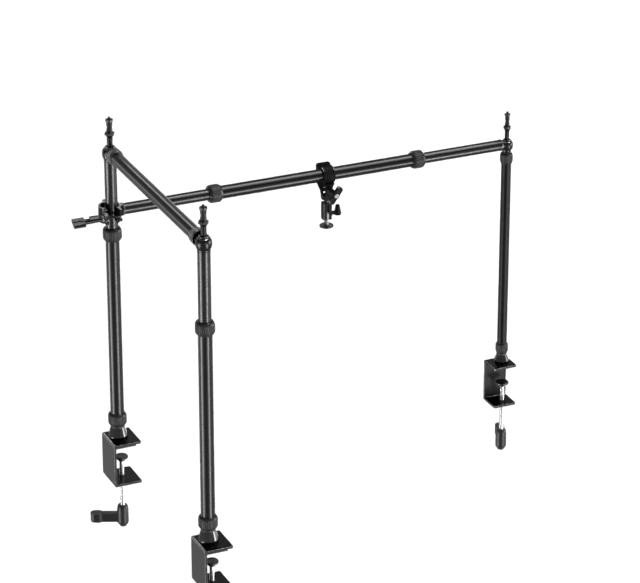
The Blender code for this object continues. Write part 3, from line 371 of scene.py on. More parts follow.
def mark_rim(obj, name, frame, radii, heights, share=1.0):
    """Write a share on the faces that lie in a ring round a frame's Z axis."""
    layer = face_layer(obj.data, name)
    back = frame.inverted()
    for polygon in obj.data.polygons:
        spot = back @ polygon.center
        reach = math.hypot(spot.x, spot.y)
        if radii[0] <= reach <= radii[1] and heights[0] <= spot.z <= heights[1]:
            layer.data[polygon.index].value = share


# %% Give a piece its finish
TOWARDS_FRONT = Vector((0, -1, 0))
UPWARDS = Vector((0, 0, 1))


def finished(obj, material, body, *stands_for, marks=True):
    """Give a piece its finish, its body and the solids that it stands for."""
    obj.data.materials.clear()
    obj.data.materials.append(material)
    if marks:
        mark_edges(obj.data)
    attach(obj, body)
    if stands_for:
        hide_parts(*stands_for)
    return obj


# %% [markdown]
# ## Finishes
#
# The rig is made of anodised aluminium, black castings, coated steel, moulded plastic, rubber,
# bright plating and blackened steel. Aluminium and plastic need several finishes each, because a
# drawn tube, a turned head and a moulded grip catch the light in different ways. Every finish has
# slow drifts in its colour and gloss, a fine grain in its bump and lighter edges, which are partly
# wear and mostly a painted highlight. They share one builder because they differ in numbers, not in
# kind, and only the drawn tubes follow the "lie" map instead of the object's own coordinates.


# %% A small helper that wires shader nodes
def node(tree, kind, links=None, **settings):
    """Add a node, set its properties or sockets by name, and link sockets into it."""
    made = tree.nodes.new(kind)
    for key, value in settings.items():
        if hasattr(made, key):
            setattr(made, key, value)
        else:
            made.inputs[key.replace("_", " ")].default_value = value
    for key, source in (links or {}).items():
        tree.links.new(source, made.inputs[key])
    return made


# %% The finish builder
SCUFF_AND_GLINT_SCALE = 220.0
SHEARED_ROUGHNESS = 0.35
DRAWN_STRETCH = (1.0, 0.02, 1.0)


def finish(name, slot, colour, rough, metallic=0.0, specular=0.5, tint=(1, 1, 1), drift=0.25,
           drift_size=0.05, rough_drift=0.06, grain=0.0006, relief=0.00004, strength=0.3, edge_wear_and_highlight=1.6,
           drawn=False):
    """Make a finish: drifting colour and gloss, a fine bumpy grain, and paler edges, partly wear and
    mostly a painted highlight.
    """
    material = bpy.data.materials.new(name)
    material.use_nodes = True
    material["slot"] = slot
    tree = material.node_tree
    shader = tree.nodes["Principled BSDF"]
    if drawn:
        where = node(tree, "ShaderNodeUVMap", uv_map="lie").outputs["UV"]
    else:
        where = node(tree, "ShaderNodeTexCoord").outputs["Object"]
    spots = node(tree, "ShaderNodeTexCoord").outputs["Object"]

    slow = node(tree, "ShaderNodeTexNoise", {"Vector": spots}, Scale=1 / drift_size, Detail=3.0)
    dark = tuple(channel * (1 - drift) for channel in colour)
    light = tuple(channel * (1 + drift) for channel in colour)
    ramp = node(tree, "ShaderNodeMapRange", {"Value": slow.outputs["Fac"]}, From_Min=0.3, From_Max=0.7)
    base = node(tree, "ShaderNodeMix", {"Factor": ramp.outputs["Result"]}, data_type="RGBA")
    base.inputs[6].default_value = (*dark, 1)
    base.inputs[7].default_value = (*light, 1)

    # Paler "edge" faces: a little wear, and mostly a painted highlight along the bevels and on chosen
    # faces
    edge = node(tree, "ShaderNodeAttribute", attribute_name="edge")
    scuffs_and_glints = node(tree, "ShaderNodeTexNoise", {"Vector": spots}, Scale=SCUFF_AND_GLINT_SCALE, Detail=4.0)
    patchy = node(tree, "ShaderNodeMapRange", {"Value": scuffs_and_glints.outputs["Fac"]}, From_Min=0.35,
                  From_Max=0.6)
    wear_and_highlight = node(tree, "ShaderNodeMath", {0: edge.outputs["Fac"], 1: patchy.outputs["Result"]},
                operation="MULTIPLY")
    pale = node(tree, "ShaderNodeMix", {"Factor": wear_and_highlight.outputs[0], 6: base.outputs[2]}, data_type="RGBA")
    pale.inputs[7].default_value = (*(min(channel * edge_wear_and_highlight, 1.0) for channel in colour), 1)
    tree.links.new(pale.outputs[2], shader.inputs["Base Color"])

    cloudy = node(tree, "ShaderNodeTexNoise", {"Vector": spots}, Scale=2.2 / drift_size, Detail=5.0)
    gloss = node(tree, "ShaderNodeMapRange", {"Value": cloudy.outputs["Fac"]}, From_Min=0.3,
                 From_Max=0.7, To_Min=rough - rough_drift, To_Max=rough + rough_drift)
    sheared = node(tree, "ShaderNodeAttribute", attribute_name="sheared").outputs["Fac"]
    dulled = node(tree, "ShaderNodeMath", {0: sheared, 2: gloss.outputs["Result"]},
                  operation="MULTIPLY_ADD")
    dulled.inputs[1].default_value = SHEARED_ROUGHNESS
    tree.links.new(dulled.outputs[0], shader.inputs["Roughness"])

    stretch = DRAWN_STRETCH if drawn else (1.0, 1.0, 1.0)
    mapped = node(tree, "ShaderNodeMapping", {"Vector": where}, Scale=stretch)
    fine = node(tree, "ShaderNodeTexNoise", {"Vector": mapped.outputs["Vector"]}, Scale=1 / grain,
                Detail=2.0)
    bump = node(tree, "ShaderNodeBump", {"Height": fine.outputs["Fac"]}, Strength=strength,
                Distance=relief)
    tree.links.new(bump.outputs["Normal"], shader.inputs["Normal"])

    shader.inputs["Metallic"].default_value = metallic
    shader.inputs["Specular IOR Level"].default_value = specular
    shader.inputs["Specular Tint"].default_value = (*tint, 1)
    return material


# %% Make the finishes
SMOOTH_METAL = {"metallic": 1.0, "relief": 0.000001, "strength": 0.1}
DRAWN_METAL = {**SMOOTH_METAL, "grain": 0.0006, "drawn": True}
LATHE_METAL = {**SMOOTH_METAL, "grain": 0.0008, "drift_size": 0.03, "rough_drift": 0.02}
MOULDED = {"grain": 0.0006, "relief": 0.000005, "strength": 0.2, "drift_size": 0.03, "rough_drift": 0.03}
# The edge factor of each finish paints its "edge" faces paler: on the head, cast, clamp and gloss plastic
# finishes, at 16 to 120 times the colour, that is a painted highlight; on the rest it is a little wear
# and some painted highlight
ANODISED = finish("black_anodised_drawn", "black_anodised", (0.020, 0.020, 0.0204), 0.28,
                  tint=(0.85, 0.85, 0.85), drift=0.06, drift_size=0.08, rough_drift=0.015, edge_wear_and_highlight=1.5,
                  **DRAWN_METAL)
MATTE = finish("black_anodised_matte", "black_anodised", (0.008, 0.008, 0.0082), 0.42,
               tint=(0.75, 0.75, 0.75), drift=0.08, drift_size=0.06, rough_drift=0.02, edge_wear_and_highlight=1.6,
               **DRAWN_METAL)
MACHINED = finish("black_anodised_turned", "black_anodised", (0.018, 0.018, 0.0184), 0.24,
                  tint=(0.85, 0.85, 0.85), drift=0.10, edge_wear_and_highlight=5.0, **LATHE_METAL)
TURNED = finish("black_anodised_head", "black_anodised", (0.018, 0.018, 0.0184), 0.26,
                tint=(0.85, 0.85, 0.85), drift=0.10, edge_wear_and_highlight=16.0, **LATHE_METAL)
DULL = finish("black_anodised_dull", "black_anodised", (0.016, 0.016, 0.0163), 0.42,
              tint=(0.80, 0.80, 0.80), drift=0.10, edge_wear_and_highlight=4.0, **LATHE_METAL)
SATIN = finish("black_anodised_satin", "black_anodised", (0.036, 0.036, 0.0368), 0.22,
               tint=(0.85, 0.85, 0.85), drift=0.08, edge_wear_and_highlight=2.5, **LATHE_METAL)
CAST = finish("black_cast", "black_cast_alloy", (0.0035, 0.0035, 0.0036), 0.48, specular=0.06, drift=0.2,
              drift_size=0.02, rough_drift=0.04, grain=0.0008, relief=0.000006, strength=0.2, edge_wear_and_highlight=110.0)
STEEL = finish("black_powder_coat", "black_coated_steel", (0.020, 0.020, 0.0204), 0.24, metallic=1.0,
               tint=(0.80, 0.80, 0.80), drift=0.05, drift_size=0.05, rough_drift=0.015, grain=0.0012,
               relief=0.000002, strength=0.15, edge_wear_and_highlight=7.0)
PLASTIC = finish("black_moulded_plastic", "black_plastic", (0.006, 0.006, 0.0061), 0.38, specular=0.20,
                 drift=0.15, edge_wear_and_highlight=9.0, **MOULDED)
GRIP = finish("black_grip_plastic", "black_plastic", (0.012, 0.012, 0.0122), 0.36, specular=0.13,
              drift=0.12, drift_size=0.04, rough_drift=0.02, grain=0.0006, relief=0.000003, strength=0.2,
              edge_wear_and_highlight=3.0)
CLAMP_PLASTIC = finish("black_clamp_plastic", "black_plastic", (0.0026, 0.0026, 0.0027), 0.55,
                       specular=0.07, drift=0.2, drift_size=0.03, rough_drift=0.04, grain=0.0008,
                       relief=0.000005, strength=0.2, edge_wear_and_highlight=120.0)
GLOSS_PLASTIC = finish("black_gloss_plastic", "black_plastic", (0.0030, 0.0030, 0.0031), 0.24,
                       specular=0.13, drift=0.15, edge_wear_and_highlight=60.0, **MOULDED)
RING = finish("black_knurled_ring", "black_plastic", (0.016, 0.016, 0.0163), 0.36, specular=0.35,
              drift=0.15, edge_wear_and_highlight=7.0, **MOULDED)
SATIN_PLATING = finish("satin_plating", "bright_chrome", (0.17, 0.17, 0.172), 0.58, metallic=1.0,
                       drift=0.08, drift_size=0.01, rough_drift=0.05, grain=0.0008, relief=0.000002,
                       strength=0.15, edge_wear_and_highlight=1.3)
RUBBER = finish("black_pad_rubber", "black_rubber", (0.008, 0.008, 0.008), 0.80, specular=0.25,
                drift=0.3, drift_size=0.012, grain=0.0009, relief=0.00008, strength=0.5, edge_wear_and_highlight=1.4)
CHROME = finish("bright_plating", "bright_chrome", (0.55, 0.555, 0.56), 0.16, metallic=1.0, drift=0.03,
                drift_size=0.02, rough_drift=0.03, grain=0.0008, relief=0.000001, strength=0.1, edge_wear_and_highlight=1.1)
DARK_STEEL = finish("blackened_steel", "dark_steel", (0.030, 0.0295, 0.029), 0.30, metallic=1.0,
                    drift=0.3, drift_size=0.008, rough_drift=0.05, grain=0.0006, relief=0.000004,
                    strength=0.2, edge_wear_and_highlight=3.0)
print("finishes", [material.name for material in bpy.data.materials if "slot" in material])

# %% [markdown]
# ## Geometry Nodes for what repeats
#
# Grip ribs repeat round every twist collar, and screw threads follow a rule: the radius depends only
# on the height and the angle. Both are node trees with named inputs. A rib is one tapered rod, put
# round the axis as instances and then realised. A thread is a grid that is rolled into a tube, with
# its radius lowered in a groove that climbs by one pitch for each turn.


# %% Build and run a tree
def new_tree(name, sockets):
    """A geometry tree with named inputs, and its input and output nodes."""
    tree = bpy.data.node_groups.new(name, "GeometryNodeTree")
    tree.interface.new_socket("Geometry", in_out="OUTPUT", socket_type="NodeSocketGeometry")
    for label, kind, value in sockets:
        socket = tree.interface.new_socket(label, in_out="INPUT", socket_type="NodeSocket" + kind)
        if value is not None:
            socket.default_value = value
    return tree, tree.nodes.new("NodeGroupInput"), tree.nodes.new("NodeGroupOutput")


def grown(obj, tree, **values):
    """Run a tree on an object and keep the result as its mesh."""
    modifier = obj.modifiers.new("grow", "NODES")
    modifier.node_group = tree
    for item in tree.interface.items_tree:
        if item.in_out == "INPUT" and item.name in values:
            modifier[item.identifier] = values[item.name]
    obj.update_tag()
    return applied(obj)


def painted(tree, geometry, read, result):
    """Give the geometry its material and send it to the tree's output."""
    made = node(tree, "GeometryNodeSetMaterial", {"Geometry": geometry, "Material": read["Material"]})
    tree.links.new(made.outputs[0], result.inputs[0])
    return tree


def math_node(tree, operation, first, second=None):
    """A maths node on sockets or numbers."""
    made = tree.nodes.new("ShaderNodeMath")
    made.operation = operation
    for index, value in ((0, first), (1, second)):
        if value is None:
            continue
        if isinstance(value, (int, float)):
            made.inputs[index].default_value = value
        else:
            tree.links.new(value, made.inputs[index])
    return made.outputs[0]


# %% The rib tree
RIB_TIP = 0.12


def make_rib_tree():
    """Tapered rods round the Z axis, joined to the shape that the tree is given."""
    tree, given, result = new_tree("ribs_round_an_axis", (
        ("Body", "Geometry", None), ("Count", "Int", 40), ("Radius", "Float", 0.02),
        ("Low", "Float", 0.0), ("High", "Float", 0.02), ("Width", "Float", 0.002),
        ("Depth", "Float", 0.001), ("Material", "Material", None)))
    read = given.outputs
    start = node(tree, "ShaderNodeCombineXYZ", {"X": read["Radius"], "Z": read["Low"]})
    end = node(tree, "ShaderNodeCombineXYZ", {"X": read["Radius"], "Z": read["High"]})
    line = node(tree, "GeometryNodeCurvePrimitiveLine", {"Start": start.outputs[0],
                "End": end.outputs[0]})
    points = node(tree, "GeometryNodeResampleCurve", {"Curve": line.outputs["Curve"]}, Count=9)
    along = node(tree, "GeometryNodeSplineParameter").outputs["Factor"]
    signed = math_node(tree, "MULTIPLY_ADD", along, 2.0)
    signed.node.inputs[2].default_value = -1.0
    fall = math_node(tree, "POWER", math_node(tree, "ABSOLUTE", signed), 5.0)
    swell = math_node(tree, "SQRT", math_node(tree, "SUBTRACT", 1.0, fall))
    taper = math_node(tree, "MAXIMUM", swell, RIB_TIP)
    half = math_node(tree, "MULTIPLY", read["Width"], 0.5)
    section = node(tree, "GeometryNodeCurvePrimitiveCircle", {"Radius": half}, Resolution=8)
    rod = node(tree, "GeometryNodeCurveToMesh", {"Curve": points.outputs["Curve"],
               "Profile Curve": section.outputs["Curve"], "Scale": taper}, Fill_Caps=True)
    back = node(tree, "ShaderNodeCombineXYZ", {"X": math_node(tree, "MULTIPLY", read["Radius"], -1.0)})
    to_axis = node(tree, "GeometryNodeTransform", {"Geometry": rod.outputs["Mesh"],
                   "Translation": back.outputs[0]})
    flatness = math_node(tree, "DIVIDE", read["Depth"], half)
    flat = node(tree, "ShaderNodeCombineXYZ", {"X": flatness}, Y=1.0, Z=1.0)
    out = node(tree, "ShaderNodeCombineXYZ", {"X": read["Radius"]})
    squeezed = node(tree, "GeometryNodeTransform", {"Geometry": to_axis.outputs[0],
                    "Scale": flat.outputs[0], "Translation": out.outputs[0]})
    spots = node(tree, "GeometryNodePoints", {"Count": read["Count"]})
    index = node(tree, "GeometryNodeInputIndex").outputs["Index"]
    share = math_node(tree, "MULTIPLY", math_node(tree, "DIVIDE", index, read["Count"]), 2 * math.pi)
    turn = node(tree, "ShaderNodeCombineXYZ", {"Z": share})
    ring = node(tree, "GeometryNodeInstanceOnPoints", {"Points": spots.outputs[0],
                "Instance": squeezed.outputs[0], "Rotation": turn.outputs[0]})
    real = node(tree, "GeometryNodeRealizeInstances", {"Geometry": ring.outputs[0]})
    both = tree.nodes.new("GeometryNodeJoinGeometry")
    tree.links.new(real.outputs[0], both.inputs[0])
    tree.links.new(read["Body"], both.inputs[0])
    smooth = node(tree, "GeometryNodeSetShadeSmooth", {"Geometry": both.outputs[0]})
    return painted(tree, smooth.outputs[0], read, result)


RIBS = make_rib_tree()
print("rib tree", len(RIBS.nodes), "nodes")


# %% The thread tree
def make_thread_tree():
    """A closed threaded rod along Z, with a small chamfer at each end."""
    tree, given, result = new_tree("screw_thread", (
        ("Radius", "Float", 0.006), ("Depth", "Float", 0.0008), ("Pitch", "Float", 0.003),
        ("Low", "Float", 0.0), ("High", "Float", 0.1), ("Around", "Int", 29), ("Rows", "Int", 100),
        ("Material", "Material", None)))
    read = given.outputs
    grid = node(tree, "GeometryNodeMeshGrid", {"Vertices X": read["Around"], "Vertices Y": read["Rows"]},
                Size_X=1.0, Size_Y=1.0)
    where = node(tree, "ShaderNodeSeparateXYZ", {0: node(tree, "GeometryNodeInputPosition").outputs[0]})
    angle = math_node(tree, "MULTIPLY", math_node(tree, "ADD", where.outputs["X"], 0.5), 2 * math.pi)
    inside = math_node(tree, "SUBTRACT", 1.0, math_node(tree, "DIVIDE", 2.0, read["Rows"]))
    run = math_node(tree, "ADD", math_node(tree, "DIVIDE", where.outputs["Y"], inside), 0.5)
    held = node(tree, "ShaderNodeClamp", {"Value": run}).outputs[0]
    span = math_node(tree, "SUBTRACT", read["High"], read["Low"])
    rise = math_node(tree, "MULTIPLY", held, span)
    height = math_node(tree, "ADD", read["Low"], rise)
    climb = math_node(tree, "DIVIDE", height, read["Pitch"])
    turned_share = math_node(tree, "DIVIDE", angle, 2 * math.pi)
    phase = math_node(tree, "FRACT", math_node(tree, "SUBTRACT", climb, turned_share))
    both_ways = math_node(tree, "SUBTRACT", math_node(tree, "MULTIPLY", phase, 2.0), 1.0)
    wave = math_node(tree, "ABSOLUTE", both_ways)
    groove = node(tree, "ShaderNodeMapRange", {"Value": wave}, From_Min=0.25, From_Max=0.75,
                  interpolation_type="SMOOTHSTEP").outputs["Result"]
    cut = math_node(tree, "SUBTRACT", read["Radius"], math_node(tree, "MULTIPLY", groove, read["Depth"]))
    near_end = math_node(tree, "MINIMUM", rise, math_node(tree, "SUBTRACT", span, rise))
    neck = math_node(tree, "SUBTRACT", read["Radius"], math_node(tree, "MULTIPLY", read["Depth"], 1.2))
    reach = math_node(tree, "MINIMUM", cut, math_node(tree, "ADD", neck, near_end))
    last = math_node(tree, "LESS_THAN", math_node(tree, "ABSOLUTE", where.outputs["Y"]), 0.49999)
    radius = math_node(tree, "MULTIPLY", reach, last)
    rolled = node(tree, "ShaderNodeCombineXYZ", {
        "X": math_node(tree, "MULTIPLY", radius, math_node(tree, "COSINE", angle)),
        "Y": math_node(tree, "MULTIPLY", radius, math_node(tree, "SINE", angle)), "Z": height})
    moved = node(tree, "GeometryNodeSetPosition", {"Geometry": grid.outputs["Mesh"],
                 "Position": rolled.outputs[0]})
    sewn = node(tree, "GeometryNodeMergeByDistance", {"Geometry": moved.outputs[0]}, Distance=1e-6)
    smooth = node(tree, "GeometryNodeSetShadeSmooth", {"Geometry": sewn.outputs[0]})
    real = node(tree, "GeometryNodeRealizeInstances", {"Geometry": smooth.outputs[0]})
    return painted(tree, real.outputs[0], read, result)


THREAD = make_thread_tree()
print("thread tree", len(THREAD.nodes), "nodes")


def threaded(name, radius, depth, pitch, low, high, place, material, around=29, rows_per_turn=8):
    """A threaded rod between two heights, laid in its place."""
    obj = shape(name, bmesh.new())
    rows = max(12, int(abs(high - low) / pitch * rows_per_turn))
    grown(obj, THREAD, Radius=radius, Depth=depth, Pitch=pitch, Low=low, High=high, Around=around,
          Rows=rows, Material=material)
    obj.data.transform(place)
    return obj


def merged(target, *others):
    """Put the meshes of several objects into one, as separate closed shells."""
    bm = bmesh.new()
    bm.from_mesh(target.data)
    for other in others:
        bm.from_mesh(other.data)
        bpy.data.objects.remove(other)
    mesh = bpy.data.meshes.new(target.name)
    bm.to_mesh(mesh)
    bm.free()
    target.data = mesh
    return target


# %% [markdown]
# ## One column
#
# Every column is the same kit in one of two gauges: a bent steel clamp with a rubber pad, a screw
# with a pressure plate and lever, a cone, two twist collars, two tubes, a head and a light spigot.
# One function builds it from a small table of sizes, so the three columns can't drift apart.

# %% Sizes of the two gauges
LEFT = {
    "outer": 0.0180, "inner": 0.0163, "inner_wall": 0.0015, "collar": 0.0245, "collar_height": 0.036,
    "cone": 0.0255, "cone_top": 0.0187, "cone_height": 0.035, "width": 0.093, "depth": 0.077,
    "shift": -0.0095, "bend": 0.032, "tubes": ANODISED, "lock": 0.585, "insertion": 0.285, "head": 0.0208,
    "head_height": 0.034, "flange": 0.0045, "scale": 1.0,
}
RIGHT = {
    "outer": 0.0135, "inner": 0.0118, "inner_wall": 0.0015, "collar": 0.0172, "collar_height": 0.032,
    "cone": 0.0210, "cone_top": 0.0142, "cone_height": 0.027, "width": 0.067, "depth": 0.069,
    "shift": -0.0072, "bend": 0.0265, "tubes": MATTE, "lock": 0.6095, "insertion": 0.250, "head": 0.0172,
    "head_height": 0.028, "flange": 0.0020, "scale": 0.8,
}
PLATE = 0.006
PAD = 0.006
CLAMP_HEIGHT = 0.122
SCREW_RADIUS = 0.00625
SCREW_X = 0.008
RIB_PITCH = 0.0052
HEAD_NECK = 0.0055
print("left tube", LEFT["outer"] * 2000, "mm, right tube", RIGHT["outer"] * 2000, "mm")

# %% [markdown]
# ### The bent clamp and its pad
#
# The clamp is one strip of steel with two folds, so its side view is the outline and its width the
# extrusion. The folds get real bend radii, the free corners are rounded, and the screw hole is cut
# before the edges are bevelled. The pad is extruded from a section with grip grooves.


# %% Clamp frame and pad
def clamp_frame(prefix, sizes, base):
    """The bent steel clamp and the rubber pad under its upper plate."""
    back = -sizes["bend"]
    front = back + sizes["depth"]
    half = sizes["width"] / 2
    low = -CLAMP_HEIGHT
    bend = 0.0045
    inside = 0.0012
    outline = [(front, -PLATE), (front, 0)] + arc((back + bend, -bend), bend, 90, 180, 8)
    outline += arc((back + bend, low + bend), bend, 180, 270, 8) + [(front, low), (front, low + PLATE)]
    outline += arc((back + PLATE + inside, low + PLATE + inside), inside, 270, 180, 4)
    outline += arc((back + PLATE + inside, -PLATE - inside), inside, 180, 90, 4)
    bm = extruded(outline, -half - sizes["shift"], half - sizes["shift"])
    corners = [edge for edge in bm.edges
               if all(abs(vert.co.x - front) < 1e-6 for vert in edge.verts)
               and abs(edge.verts[0].co.z - edge.verts[1].co.z) < 1e-6]
    bmesh.ops.bevel(bm, geom=corners, offset=0.0045, segments=6, affect="EDGES", profile=0.5)
    frame_piece = shape(prefix + "_clamp_frame_piece", bm, base @ placed(turn=(90, 0, 0)))
    hole = cylinder(SCREW_RADIUS + GAP, low - PLATE, low + 2 * PLATE)
    carved(frame_piece, hole, base @ placed((SCREW_X, 0, 0)))
    rounded(frame_piece, 0.0007, 2)
    mark_facing(frame_piece, "sheared", TOWARDS_FRONT)
    finished(frame_piece, STEEL, prefix + "_base", prefix + "_clamp_frame")

    pad_back = back + PLATE + GAP
    pad_front = front - 0.014
    top = -PLATE - GAP
    grooves = 7
    step = (pad_front - pad_back) / (grooves + 1)
    section = [(pad_back, top), (pad_back, top - PAD)]
    for index in range(1, grooves + 1):
        middle = pad_back + step * index
        section += [(middle - 0.0012, top - PAD), (middle - 0.0006, top - PAD + 0.0011),
                    (middle + 0.0006, top - PAD + 0.0011), (middle + 0.0012, top - PAD)]
    section += [(pad_front, top - PAD), (pad_front, top)]
    reach = sizes["width"] / 2 - 0.004
    strip = extruded(section, -reach - sizes["shift"], reach - sizes["shift"])
    pad = shape(prefix + "_jaw_pad_piece", strip, base @ placed(turn=(90, 0, 0)))
    rounded(pad, 0.0004, 2)
    finished(pad, RUBBER, prefix + "_base", prefix + "_jaw_pad")


# %% [markdown]
# ### The clamp screw, its foot and its lever
#
# The screw is bright plated with a coarse thread, so it comes from the thread tree. The foot turns on
# the screw's tip. The lever is one moulding: a hub, with a socket round the screw and a cap below,
# and an arm that swells at its end. Hub and arm are joined before the edges are rounded.


# %% Screw, foot and lever
def screw_set(prefix, base):
    """Pressure foot, threaded screw and lever, under the clamp."""
    foot_top = -PLATE_TOP - 0.048
    foot_low = foot_top - 0.006
    boss_low = foot_low - 0.008
    place = base @ placed((SCREW_X, 0, 0))
    foot = spun(softened([
        (0, boss_low + 0.0073), (0.0048, boss_low + 0.0073), (0.0048, boss_low), (0.0090, boss_low),
        (0.0090, foot_low), (0.0168, foot_low), (0.0180, foot_low + 0.0014), (0.0180, foot_top - 0.0012),
        (0.0168, foot_top), (0.0120, foot_top), (0.0112, foot_top - 0.0006), (0, foot_top - 0.0006)],
        0.0005), 48)
    foot_piece = rounded(shape(prefix + "_pressure_plate_piece", foot, place))
    finished(foot_piece, DARK_STEEL, prefix + "_presser", prefix + "_pressure_plate")

    hub_top = -CLAMP_HEIGHT - 0.085
    screw_low = hub_top - 0.036
    shoulder = boss_low - GAP
    rod = threaded(prefix + "_clamp_screw_piece", SCREW_RADIUS, 0.0008, 0.003, screw_low, shoulder, place,
                   CHROME)
    tip = shape("tip", cylinder(0.0045, shoulder - 0.002, boss_low + 0.007, soft=0.0006), place)
    merged(rod, rounded(tip))
    finished(rod, CHROME, prefix + "_screw", prefix + "_clamp_screw", marks=False)

    hub_low = hub_top - 0.057
    bore = SCREW_RADIUS + GAP
    hub = spun(softened([
        (0, hub_low - 0.006), (0.0085, hub_low - 0.006), (0.0095, hub_low - 0.005), (0.0095, hub_low),
        (0.0128, hub_low), (0.0153, hub_low + 0.0060), (0.0153, hub_top - 0.0130),
        (0.0138, hub_top - 0.0030), (0.0118, hub_top), (0.0090, hub_top), (bore, hub_top - 0.0030),
        (bore, screw_low - GAP), (0, screw_low - GAP)], 0.0012), 64)
    lever = shape(prefix + "_clamp_lever_piece", hub, place)
    middle = hub_top - 0.0365
    outline = [(0.0075, -0.0085), (0.056, -0.0085), (0.062, -0.013)]
    outline += arc((0.087 - 0.013, 0), 0.013, -90, 90, 20)
    outline += [(0.062, 0.013), (0.056, 0.0085), (0.0075, 0.0085)]
    joined(lever, extruded(outline, middle - 0.0125, middle + 0.0125), place @ placed(turn=(0, 0, 156)))
    rounded(lever, 0.0011, 3)
    finished(lever, PLASTIC, prefix + "_screw", prefix + "_clamp_lever")


# %% [markdown]
# ### Twist collars
#
# A collar locks a telescopic joint by hand, so its waist carries upright ribs between a smooth
# rounded shoulder and a tapered foot. The body is spun and the rib tree adds the ribs.


# %% A twist collar
def twist_collar(name, radius, height, wide, narrow, place, body):
    """A ribbed collar whose bore is wide below its middle and narrow above it."""
    middle = height / 2 + GAP
    edge = wide + (radius - wide) * 0.40
    low = 0.0070
    high = height - 0.0088
    skin = radius - 0.0008
    outline = [(wide, 0), (edge, 0), (skin, low)]
    outline += [(skin, high), (radius - 0.0002, high + 0.0010), (radius - 0.0002, high + 0.0022),
                (radius - 0.0012, height - 0.0038), (radius - 0.0038, height - 0.0010),
                (radius - 0.0056, height), (narrow, height)]
    if abs(narrow - wide) > 1e-6:
        outline += [(narrow, middle), (wide, middle)]
    collar = shape(name + "_piece", spun(softened(outline, 0.0009, 4, closed=True), 96, closed=True))
    grown(collar, RIBS, Body=None, Count=round(2 * math.pi * radius / RIB_PITCH), Radius=skin - 0.0002,
          Low=low - 0.0030, High=height - 0.0042, Width=RIB_PITCH * 0.60, Depth=0.0013, Material=GRIP)
    collar.data.transform(place)
    finished(collar, GRIP, body, name)
    mark_rim(collar, "sheared", place, (narrow, radius - 0.0008),
             (height - 0.0050, height + 0.0001), -0.6)


# %% [markdown]
# ### Cone, tubes, head and spigot
#
# These are all turned. The head is a rounded hub with a port on its side for a bar, joined by a
# boolean because the two axes cross. The spigot's flange is a hexagon for a spanner, which the lathe
# helper makes by pulling one ring of points to a polygon, and its stud has a fine thread.


# %% Tubes and the cone
def tube(name, outer, wall, low, high, place, material, body, *solids):
    """A round tube between two heights, with softened ends."""
    section = [(outer - wall, low), (outer, low), (outer, high), (outer - wall, high)]
    outline = softened(section, 0.0005, 3, True)
    piece = rounded(shape(name, spun(outline, 80, closed=True), place))
    return finished(piece, material, body, *solids)


def cone_base(prefix, sizes, place):
    """The cone on the clamp, its neck inside the collar and its stub inside the column."""
    top = sizes["cone_height"]
    neck = top + sizes["collar_height"] * 0.42
    stub = top + sizes["collar_height"] + 0.012
    outline = [(0, -PLATE), (0.004, -PLATE), (0.004, GAP), (sizes["cone"], GAP), (sizes["cone"], 0.0055),
               (sizes["cone_top"], top - 0.0045), (sizes["cone_top"], top), (sizes["outer"], top),
               (sizes["outer"], neck), (sizes["inner"], neck), (sizes["inner"], stub - 0.0015),
               (sizes["inner"] - 0.0015, stub), (0, stub)]
    piece = rounded(shape(prefix + "_cone_base_piece", spun(softened(outline, 0.0010), 80), place))
    finished(piece, SATIN, prefix + "_base", prefix + "_cone_base")
    mark_rim(piece, "sheared", place, (sizes["cone_top"] - 0.0012, sizes["cone_top"] + 0.0001),
             (top - 0.0052, top + 0.0001))
    return neck


# %% Head and spigot
# Radius, groove depth and pitch of a quarter inch camera thread
QUARTER_INCH = (0.003175, 0.0005, 0.00127)


def port_face(sizes):
    """How far the face of a head's port lies from the column's axis."""
    return sizes["head"] + 0.0010 + sizes["flange"]


def head(name, sizes, place, port_turn, bar_bore, flange_radius, body):
    """The rounded hub on a column, with a plug below, a seat above and a port on its side."""
    radius = sizes["head"]
    half = sizes["head_height"] / 2
    plug = sizes["inner"] - sizes["inner_wall"] - GAP
    ring = 0.0135 * sizes["scale"]
    seat = 0.0105 * sizes["scale"]
    hole = 0.0060 * sizes["scale"] + GAP
    neck = -half - HEAD_NECK
    outline = softened([
        (0, neck - 0.024), (plug, neck - 0.024), (plug, neck), (sizes["inner"] + 0.0004, neck),
        (sizes["inner"] + 0.0004, -half), (radius * 0.84, -half + 0.0005), (radius * 0.96, -half * 0.66),
        (radius, -half * 0.28), (radius, half * 0.08), (radius * 0.95, half * 0.42),
        (radius * 0.80, half * 0.68), (ring, half * 0.74), (ring, half - 0.0008), (ring - 0.0010, half),
        (seat, half), (seat, half - 0.0015), (hole, half - 0.0015), (hole, half - 0.0145),
        (0, half - 0.0145)], 0.0014, 4)
    hub = shape(name + "_piece", spun(outline, 80), place)
    end = port_face(sizes)
    start = end - sizes["flange"]
    port = spun(softened([
        (0, radius * 0.55), (bar_bore, radius * 0.55), (bar_bore, start), (flange_radius, start),
        (flange_radius, end), (bar_bore - GAP, end), (bar_bore - GAP, end + 0.028), (0, end + 0.028)],
        0.0006), 64)
    across = place @ placed(turn=port_turn)
    joined(hub, port, across)
    finished(rounded(hub), TURNED, body, name)


